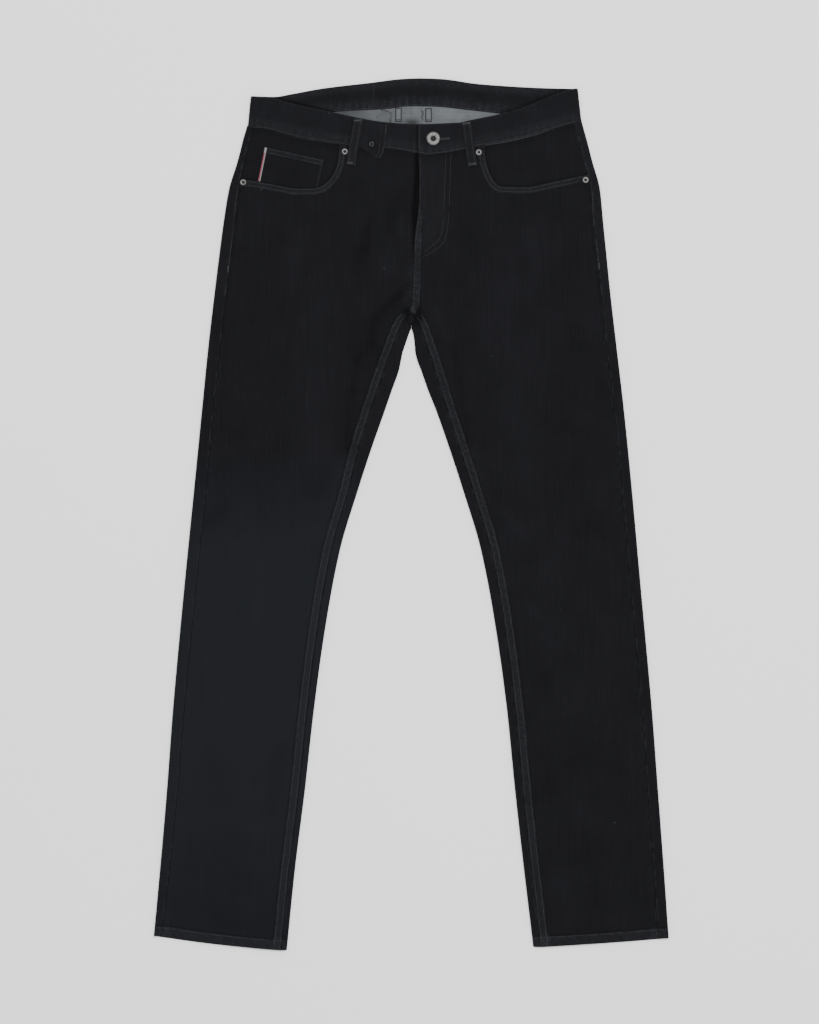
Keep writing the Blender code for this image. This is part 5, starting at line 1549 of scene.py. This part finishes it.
def denim_finish(name, dark, mid, worn_and_lit, wrong):
    """Twill denim: a near-black face with fine slubs, worn crests, painted highlight and painted
    shade, and a grey wrong side.
    """
    made = Finish(name, roughness=0.88, Specular_IOR_Level=0.1)
    shade, hem = made.attribute("shade"), made.attribute("hem")
    slub = made.noise((620.0, 16.0, 620.0), 3.0, 0.6)
    weft = made.noise((20.0, 560.0, 560.0), 2.0, 0.5)
    mottle = made.noise(22.0, 4.0, 0.6)
    grain = made.noise(1500.0, 2.0, 0.6)
    wear = made.attribute("wear")
    broken = made.noise(330.0, 3.0, 0.65).between(0.38, 0.66)
    tone = slub.between(0.3, 0.75) * 0.45 + mottle.between(0.3, 0.7) * 0.4 + grain * 0.25
    face = made.mix(tone, dark, mid)
    flecks = made.noise(480.0, 2.0, 0.6).between(0.42, 0.62)
    band = hem.between(0.56, 0.66)
    rim = band - hem.between(0.78, 0.88)
    patchy = made.noise(130.0, 2.0, 0.6).between(0.3, 0.7) * 0.8 + 0.6
    face = made.mix((band * (flecks * 0.2 + 0.05) + rim * flecks * 0.16) * patchy, face, worn_and_lit)
    # Wear with painted highlight lightens the face towards the worn and lit colour
    face = made.mix(wear * (broken * 0.55 + 0.22), face, worn_and_lit)
    pick = made.node("ShaderNodeSeparateColor", None, {"Color": made.cells(58.0, "Color")}, 0)
    lint = made.cells(58.0, "Distance").between(0.045, 0.03) * pick.between(0.93, 0.95)
    face = made.mix(lint * 0.3, face, (0.12, 0.13, 0.14))
    x, y = made.coordinate(0), made.coordinate(1)
    washed = x.between(0.02, -0.05) * y.between(0.08, -0.06)
    washed = washed * (y.between(-0.54, -0.34) * 0.65 + 0.35)
    face = made.mix(washed * 0.5, face, (0.0092, 0.0109, 0.0135))
    # Painted shade: a groove beside felled seams and the painted shade marks darken the face
    painted_groove_shade = hem.between(0.38, 0.46) - band
    hollow = (painted_groove_shade * 0.35 + shade).between(0.0, 1.0)
    face = made.mix(hollow * 0.85, face, dimmed(dark, 0.2))
    inside = made.attribute("wrong")
    back_tone = weft.between(0.3, 0.7) * 0.5 + grain * 0.5
    back = made.mix(back_tone * 0.5 + patchy * 0.2 + mottle.between(0.35, 0.65) * 0.25,
                    dimmed(wrong, 0.55), wrong)
    # Painted shade on the wrong side
    back = made.mix(shade.between(0.0, 1.0) * 0.9, back, dimmed(wrong, 0.1))
    made.colour(made.mix(inside.between(0.45, 0.55), face, back))
    twill = (made.coordinate(0, 1.1) * (2.0 * math.pi / TWILL_PITCH)).sine()
    made.bump(twill * 0.3 + grain * 0.5 + slub * 0.7, 0.00022, 0.55)
    return made.material


def plain_cloth(name, low, high):
    """A plain woven finish between two colours, darkened where painted shade is marked."""
    made = Finish(name, roughness=0.9)
    warp = made.noise((800.0, 120.0, 800.0), 2.0, 0.6)
    weft = made.noise((120.0, 800.0, 800.0), 2.0, 0.6)
    tone = warp * 0.5 + weft * 0.5
    face = made.mix(tone.between(0.3, 0.7), low, high)
    made.colour(made.mix(made.attribute("shade"), face, dimmed(low, 0.12)))
    made.bump(tone, 0.0002, 0.5)
    return made.material


def selvedge_cloth(name):
    """White self-edge with one red line along its middle, read from the mesh's own value."""
    made = Finish(name, roughness=0.88)
    line = made.attribute("line")
    grain = made.noise(900.0, 2.0, 0.6)
    white = made.mix(grain, (0.10, 0.094, 0.096), (0.21, 0.195, 0.2))
    red = made.mix(grain, (0.11, 0.016, 0.026), (0.18, 0.034, 0.05))
    made.colour(made.mix(line.between(0.4, 0.6), white, red))
    made.bump(grain, 0.0002, 0.5)
    return made.material


def thread_finish(name, low, high):
    """Sewing thread: twisted, a little glossy."""
    made = Finish(name, roughness=0.6)
    twist = made.noise(2600.0, 1.0, 0.5)
    tone = made.noise(90.0, 2.0, 0.5)
    made.colour(made.mix(tone.between(0.3, 0.7) * 0.6 + twist * 0.4, low, high))
    made.bump(twist, 0.00015, 0.4)
    return made.material


def metal_finish(name, low, high, rough_low, rough_high):
    """Cast metal with a brushed and slightly tarnished face."""
    made = Finish(name, metallic=1.0)
    stain = made.noise(420.0, 3.0, 0.6).between(0.35, 0.68)
    fine = made.noise(2400.0, 2.0, 0.6)
    made.colour(made.mix(stain, low, high))
    made.rough(fine * (rough_high - rough_low) + rough_low)
    made.bump(fine, 0.00008, 0.4)
    return made.material


def floor_finish():
    """Pale paper floor with the faintest unevenness."""
    made = Finish("pale_floor", roughness=0.9)
    tone = made.noise(1.5, 2.0, 0.5)
    made.colour(made.mix(tone, (0.90, 0.90, 0.905), (0.93, 0.93, 0.935)))
    return made.material


FINISHES = {
    "denim": (denim_finish, (0.0024, 0.0024, 0.0034), (0.0063, 0.0063, 0.0080),
              (0.024, 0.025, 0.028), (0.114, 0.123, 0.128)),
    "trim_denim": (denim_finish, (0.0028, 0.0028, 0.0038), (0.0074, 0.0074, 0.0092),
                   (0.026, 0.027, 0.030), (0.080, 0.086, 0.091)),
    "grey_tape": (plain_cloth, (0.060, 0.065, 0.069), (0.084, 0.090, 0.095)),
    "thread": (thread_finish, (0.0055, 0.0057, 0.0062), (0.021, 0.022, 0.024)),
    "selvedge": (selvedge_cloth,),
    "bright_nickel": (metal_finish, (0.06, 0.06, 0.058), (0.125, 0.125, 0.12), 0.42, 0.62),
    "dull_nickel": (metal_finish, (0.006, 0.0065, 0.0075), (0.026, 0.027, 0.029), 0.35, 0.55),
}


def finish_named(slot):
    """The material of a slot, made the first time that it is wanted."""
    name = "jeans_" + slot
    if name not in bpy.data.materials:
        make, *colours = FINISHES[slot]
        make(name, *colours)
    return bpy.data.materials[name]


def make_cloth(node, grids, slot="denim", wrong=1.0, **sheet):
    """Make a panel's shell from its grids, in place of its solid."""
    outer, inner, marks = grids
    made = shell(node + "_cloth", outer, inner, slot, marks, wrong)
    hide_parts(node)
    if sheet:
        lay_sheet(made, outer, inner, **sheet)


class JEANS_OT_fronts(bpy.types.Operator):
    """Make the two fronts"""

    bl_idname = "jeans.make_fronts"
    bl_label = "Fronts"

    def execute(self, context):
        for side in SIDES:
            make_cloth(side + "_front", front_grids(side), rests_on=[side + "_back"])
        return {"FINISHED"}


class JEANS_OT_backs(bpy.types.Operator):
    """Make the two backs and the two yokes, which wrap round the side folds"""

    bl_idname = "jeans.make_backs"
    bl_label = "Backs and yokes"

    def execute(self, context):
        for side in SIDES:
            for part, rows in (("_back", back_rows(side)), ("_yoke", yoke_rows(side))):
                make_cloth(side + part, wrapped_grids(side, rows), held="folded",
                           rests_on=["floor"])
        for name, place, stretch, drop, wear in CROTCH_LUMPS:
            lump = turned(name, LUMP_PROFILE, place, LEG_HEIGHT - drop, 48, "denim",
                          wobble=self.rumple, stretch=stretch)
            # The knot's wear and painted highlight
            add_values(lump.data, "wear", np.full(len(lump.data.vertices), wear))
        return {"FINISHED"}

    def rumple(self, angle, radius):
        """Uneven folds of the seams' bulky crossing."""
        return 0.06 * radius * (np.sin(3.0 * angle + 0.5 * radius) + 0.8 * np.sin(5.0 * angle))


class JEANS_OT_band(bpy.types.Operator):
    """Make the waistband"""

    bl_idname = "jeans.make_band"
    bl_label = "Waistband"

    def execute(self, context):
        make_cloth("waistband", waistband_grids(), wrong=0.0, held="folded", rests_on=["floor"])
        return {"FINISHED"}


class JEANS_OT_pockets(bpy.types.Operator):
    """Make the facings, the coin pocket with its self-edge, the back pockets and the shield"""

    bl_idname = "jeans.make_pockets"
    bl_label = "Pockets"

    def execute(self, context):
        for side in SIDES:
            make_cloth(side + "_facing", facing_grids(side), rests_on=[side + "_back"])
            make_cloth(side + "_back_pocket", pocket_grids(side), rests_on=["floor"])
        coin = coin_grids()
        make_cloth("coin_pocket", coin, rests_on=["right_facing"])
        self.make_selvedge(coin[0])
        x0, x1, y0, y1 = SHIELD_OUTLINE
        x, y = np.meshgrid(np.linspace(x0, x1, 30), np.linspace(y0, y1, 50))
        # Painted shade: the shield is darkened all over, as the deep shadow in the slit under the
        # lap
        shield = (*plate_grids(x, y, UNDERLAY, TRIM)[:2], {"shade": 1.0, "shade_under": 1.0})
        make_cloth("fly_shield", shield, rests_on=["left_back"])
        return {"FINISHED"}

    def make_selvedge(self, coin):
        """The white edge with its red line, laid on the coin pocket's outer side."""
        edge = coin[2:, 3]
        across = np.array((0.0, 0.3, 0.7, 1.0, 1.25, 1.4, 1.8, 2.3, 2.7))
        place = edge[:, None] + direction(coin[2:, 20] - edge)[:, None] * across[:, None]
        upper = place + np.stack((0.0 * across, 0.0 * across,
                                  0.12 + 0.1 * np.sin(across / across[-1] * math.pi)), -1)
        made = shell("coin_self_edge", upper, place - (0.0, 0.0, 0.15), "selvedge")
        down = np.linalg.norm(edge - coin[0, 3], axis=-1)[:, None]
        line = (1.0 - ramp(across, 1.2, 1.7)) * ramp(down, 7.0, 8.0)
        add_values(made.data, "line", np.tile(line.ravel(), 2))


class JEANS_OT_loops(bpy.types.Operator):
    """Make the belt loops, the riveted tab and the two inner tapes"""

    bl_idname = "jeans.make_loops"
    bl_label = "Loops, tab and tapes"

    def execute(self, context):
        on_band = BAND_HEIGHT + GAP
        bases = {"right_front_loop": on_band + LOOP_THICK + GAP, "left_front_loop": on_band}
        for name, route in FRONT_LOOPS.items():
            make_cloth(name, loop_grids(route, bases[name]), "trim_denim", 0.0,
                       rests_on=["waistband"])
        for name, x in BACK_LOOPS.items():
            across = x + (edge_shares([LOOP_WIDTH], 10, True) - 0.5) * LOOP_WIDTH
            down = back_loop_top(x) - BACK_LOOP_LENGTH * edge_shares([BACK_LOOP_LENGTH], 40, True)
            inner, outer, near = plate_grids(*np.meshgrid(across, down), 0.0, TRIM)
            make_cloth(name, (outer, inner, {"wear": 0.5 * bell(near, 1.0)}), "trim_denim", 0.0,
                       rests_on=["floor"])
        make_cloth("rivet_tab", tab_grids(), "trim_denim", 0.0, rests_on=["waistband"])
        for name, (x0, x1, y0, y1) in STRIPS.items():
            x, y = np.meshgrid(np.linspace(x0 - 0.9, x1 + 0.9, 30), np.linspace(y0, y1, 40))
            inner, outer, near = plate_grids(x, y, POCKET_LIFT + CLOTH + GAP, TRIM)
            # Painted shade along the tapes' edges and on their undersides
            marks = {"shade": np.exp(-(near / 1.4) ** 4), "shade_under": 0.4}
            make_cloth(name, (inner, outer, marks), "grey_tape", 0.0)
        return {"FINISHED"}


class JEANS_OT_hardware(bpy.types.Operator):
    """Make the button and the rivets"""

    bl_idname = "jeans.make_hardware"
    bl_label = "Button and rivets"

    def execute(self, context):
        hole = BUTTON_HOLE - 0.5
        middle, half = (BUTTON_RADIUS + hole) / 2.0, (BUTTON_RADIUS - hole) / 2.0
        angle = np.linspace(0.0, 2.0 * math.pi, 36, endpoint=False)
        reach, rise = np.cos(angle), np.sin(angle)
        profile = np.stack((middle + half * np.sign(reach) * np.abs(reach) ** 0.75,
                            BUTTON_HEIGHT * (0.5 + 0.5 * np.sign(rise) * np.abs(rise) ** 0.85)),
                           -1)
        base = BAND_HEIGHT + BAND + 2.0 * GAP
        ring = turned("button_ring", profile, BUTTON_PLACE, base, 72, "bright_nickel",
                      closed=True)
        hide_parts("waist_button")
        turned("button_post", POST_PROFILE, BUTTON_PLACE, base + 0.3, 48, "dull_nickel",
               wobble=self.crimp)
        bases = {"bright": LEG_HEIGHT + MOUTH_HEM[1] + GAP,
                 "dull": BAND_HEIGHT + LOOP_THICK + 2.0 * GAP}
        for name, (x, y, kind) in RIVETS.items():
            cap = turned(name + "_cap", CAP_PROFILE, (x, y), bases[kind], 48, kind + "_nickel")
            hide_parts(name)
            turned(name + "_pin", PIN_PROFILE, (x, y), bases[kind], 28, "dull_nickel",
                   wobble=self.crimp)
        return {"FINISHED"}

    def crimp(self, angle, radius):
        """Uneven folds of the post's crimped end, strongest half way out."""
        waves = 0.22 * np.sin(5.0 * angle + 0.6) + 0.12 * np.sin(3.0 * angle)
        return bell(radius - 2.0, 0.9) * waves


class JEANS_OT_sewing(bpy.types.Operator):
    """Sew the seams, hems, bars and the buttonhole"""

    bl_idname = "jeans.sew_seams"
    bl_label = "Sewing"

    def execute(self, context):
        sew("front_stitches", self.front_rows())
        sew("band_stitches", self.band_rows())
        sew("under_stitches", self.under_rows())
        sew("bars", self.bar_rows())
        return {"FINISHED"}

    def front_rows(self):
        """Rows on the fronts: mouths, inseams, outseams, hems and fly."""
        rows = []
        for side, sign in SIDES.items():
            front, back = side + "_front_cloth", side + "_back_cloth"
            edge = front_edges(side)
            across = direction(edge["outer"] - edge["inner"])
            low = edge["inner"][:, 1] < INSEAM_SEWN_TOP
            mouth = edge["mouth_rank"] < MOUTH_SEWN_END
            lines = [(edge["outer"] + edge["outer_way"] * offset)[mouth][3:]
                     for offset in HEM_STITCHES]
            lines += [(edge["inner"] + across * offset)[low] for offset in (1.7, 8.7)]
            rows += [row(front, line * (sign, 1.0)) for line in lines]
            y = np.linspace(YOKE_SEAM[side][0] - 42.0, 308.0, 90)
            rows.append(row(f"{back} {side}_yoke_cloth",
                            places(sign * (side_line(side, "outseam", y) + 1.1), y)))
            line = self.hem_line(side, 2.0)
            line[:, 1] = bow_hem(side, sign * line[:, 0], line[:, 1], LEG_HEM[0])
            rows.append(row(f"{front} {back}", line))
        both = "left_front_cloth right_front_cloth"
        rows += [row(both, route_points(route)) for route in FLY_ROUTES]
        for top, foot, count, inset in ((324.0, 262.0, 50, 1.6), (452.0, 330.0, 80, 1.8)):
            y = np.linspace(top, foot, count)
            rows.append(row(both, places(centre_edge("left", y) + inset, y)))
        return rows

    def hem_line(self, side, inset):
        """The line of a hem's stitches, from near the side fold to near the inner fold."""
        hem_outer, hem_inner = HEM_Y[side]
        ends = ((float(side_line(side, "fold", hem_outer)) - inset, hem_outer),
                (float(inner_line(side, "fold", hem_inner)) + inset, hem_inner))
        return (np.linspace(*np.array(ends), 60) + (0.0, LEG_HEM[0] - 0.6)) * (SIDES[side], 1.0)

    def band_rows(self):
        """Rows on the band, inside the band's back, on the loops, tab and coin pocket."""
        band = "waistband_cloth"
        x = np.linspace(*WAIST_SPAN, 300)
        front = np.concatenate((np.linspace(-200.0, 6.5, 150), np.linspace(10.5, 206.0, 150)))
        rows = [row(band, places(front, smooth(FRONT_LOW, front) + 1.8)),
                row(band, places(x, smooth(BACK_LOW, x) + 1.8), level=INSIDE_LEVEL),
                row(band, ((-48.2, 544.0), (-48.2, 514.5)), level=INSIDE_LEVEL),
                row(band, ((LAP_EDGE + 1.9, 492.0), (LAP_EDGE + 1.9, 459.5)))]
        for name, route in FRONT_LOOPS.items():
            rows += [row(name + "_cloth", route_points(route) + (offset, 0.1 * offset))
                     for offset in LOOP_STITCHES]
        for offset in HEM_STITCHES:
            line = route_points(np.array(COIN_TOP) - (0.0, offset))
            rows.append(row("coin_pocket_cloth", line[12:-12]))
        for side, marks in YOKE_MARKS.items():
            rows += [row(side + "_yoke_cloth", route_points(route, 60), 1.5 * width,
                         level=INSIDE_LEVEL) for width, *route in marks]
        for name, (x0, x1, y0, y1) in STRIPS.items():
            tape = name + "_cloth right_yoke_cloth left_yoke_cloth"
            rows += [row(tape, ((x, y1), (x, y0))) for x in (x0 + 0.4, x1 - 0.4)]
            rows.append(row(tape, ((x0, y0 + 2.6), (x1, y0 + 2.6)), 1.8))
        y = np.linspace(493.0, 452.0, 40)
        right = smooth([(level, end) for level, _, end in TAB_ROWS], y)
        return rows + [row("rivet_tab_cloth", places(right - inset, y)) for inset in (1.8, 6.4)]

    def under_rows(self):
        """Rows on the underside: yokes, centre back, pockets, hems and back loops."""
        lines = []
        for side, sign in SIDES.items():
            _, fold_y, centre_y = YOKE_SEAM[side]
            fold = float(side_line(side, "fold", fold_y)) - 8.0
            lines += [(side + "_yoke_cloth", ((sign * fold, fold_y + offset),
                                              (sign * 6.0, centre_y + offset)))
                      for offset in (1.8, 7.0)]
            lines += [(side + "_back_pocket_cloth", line) for line in self.pocket_lines(side)]
            lines.append((side + "_back_cloth", self.hem_line(side, 4.0)))
        lines += [("left_back_cloth", ((x, 447.0), (x, 252.0))) for x in (1.9, 7.0)]
        x = np.linspace(*WAIST_SPAN, 300)
        lines += [("waistband_cloth", places(x, smooth(curve, x) + up))
                  for curve, up in ((BACK_TOP, -1.7), (BACK_LOW, 1.8))]
        for name, x in BACK_LOOPS.items():
            top = back_loop_top(x) - 1.0
            foot = top + 2.0 - BACK_LOOP_LENGTH
            lines += [(name + "_cloth", ((x + offset, top), (x + offset, foot)))
                      for offset in LOOP_STITCHES]
        return [row(names, line, below=True) for names, line in lines]

    def pocket_lines(self, side):
        """Two lines round a back pocket and two across its top."""
        outer = pocket_grids(side)[0][..., :2]
        rim = np.concatenate((outer[:, 0], outer[-1], outer[::-1, -1]))
        way = direction(outer.reshape(-1, 2).mean(0) - rim)
        lines = [rim + way * offset * 1.25 for offset in (1.7, 7.2)]
        return lines + [outer[0, 3:-3] - (0.0, offset) for offset in (1.7, 9.0)]

    def bar_rows(self):
        """Close bars of thread and the buttonhole's edge."""
        rows = [row("waistband_cloth", line, width) for width, line in BUTTONHOLE]
        for side, y in (("right", 310.0), ("left", 314.0)):
            x = SIDES[side] * (float(side_line(side, "outseam", y)) + 1.6)
            rows.append(row(f"{side}_front_cloth {side}_back_cloth",
                            ((x, y + 4.0), (x, y - 4.0)), 2.0))
        for name, route in FRONT_LOOPS.items():
            line, half = route_points(route), (BAR_HALF, 0.6)
            rows += [row(name + "_cloth", (middle - half, middle + half), BAR_WIDTH)
                     for middle in (line[13], line[381])]
        for name, x in BACK_LOOPS.items():
            for down in (BAR_WIDTH, BACK_LOOP_LENGTH - BAR_WIDTH):
                y = back_loop_top(x) - down
                rows.append(row(name + "_cloth", ((x - BAR_HALF, y), (x + BAR_HALF, y)),
                                BAR_WIDTH, True))
        return rows


class JEANS_OT_stage(bpy.types.Operator):
    """Add the floor, the camera and the lights"""

    bl_idname = "jeans.make_stage"
    bl_label = "Stage"

    def execute(self, context):
        scene = context.scene
        mesh = bpy.data.meshes.new("floor")
        corners = [(x * FLOOR_REACH, y * FLOOR_REACH, FLOOR_LEVEL)
                   for x, y in ((-1, -1), (1, -1), (1, 1), (-1, 1))]
        mesh.from_pydata(corners, [], [(0, 1, 2, 3)])
        mesh.materials.append(floor_finish())
        floor = bpy.data.objects.new("floor", mesh)
        scene.collection.objects.link(floor)
        height = looks()["camera_height"] * MM
        lens = bpy.data.cameras.new("camera")
        lens.sensor_width = 36.0
        lens.lens = lens.sensor_width * height / VIEW_WIDTH
        lens.clip_end = 50.0
        camera = bpy.data.objects.new("camera", lens)
        camera.location = (*CAMERA_PLACE, height)
        scene.collection.objects.link(camera)
        scene.camera = camera
        for name, place, across, power in LIGHTS:
            lamp = bpy.data.lights.new(name, "AREA")
            lamp.shape = "SQUARE"
            lamp.size = across
            lamp.energy = power
            made = bpy.data.objects.new(name, lamp)
            made.location = place
            x, y, z = place
            made.rotation_euler = (math.acos(z / math.hypot(x, y, z)), 0.0, math.atan2(-x, y))
            scene.collection.objects.link(made)
        world = bpy.data.worlds.new("room")
        world.use_nodes = True
        background = world.node_tree.nodes["Background"].inputs
        background["Color"].default_value = (1.0, 1.0, 1.0, 1.0)
        background["Strength"].default_value = ROOM_LIGHT
        scene.world = world
        return {"FINISHED"}


class JEANS_PT_panel(bpy.types.Panel):
    """Buttons of every step"""

    bl_label = "Jeans laid flat"
    bl_idname = "JEANS_PT_panel"
    bl_space_type = "VIEW_3D"
    bl_region_type = "UI"
    bl_category = "Jeans"

    def draw(self, context):
        for step in OPERATORS:
            self.layout.operator(step.bl_idname)
        for name in JeansLooks.__annotations__:
            self.layout.prop(context.scene.jeans_looks, name)


OPERATORS = (JEANS_OT_fronts, JEANS_OT_backs, JEANS_OT_band, JEANS_OT_pockets, JEANS_OT_loops,
             JEANS_OT_hardware, JEANS_OT_sewing, JEANS_OT_stage)
CLASSES = (JeansLooks, *OPERATORS, JEANS_PT_panel)


def register():
    """Register the classes and the scene's sizes."""
    for cls in CLASSES:
        bpy.utils.register_class(cls)
    bpy.types.Scene.jeans_looks = bpy.props.PointerProperty(type=JeansLooks)


def unregister():
    """Take them away again."""
    del bpy.types.Scene.jeans_looks
    for cls in reversed(CLASSES):
        bpy.utils.unregister_class(cls)


def main():
    """Make everything."""
    register()
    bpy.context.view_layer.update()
    bpy.ops.jeans.make_fronts()
    bpy.ops.jeans.make_backs()
    bpy.ops.jeans.make_band()
    bpy.ops.jeans.make_pockets()
    bpy.ops.jeans.make_loops()
    bpy.ops.jeans.make_hardware()
    bpy.ops.jeans.sew_seams()
    bpy.ops.jeans.make_stage()
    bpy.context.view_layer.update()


if __name__ == "__main__":
    main()
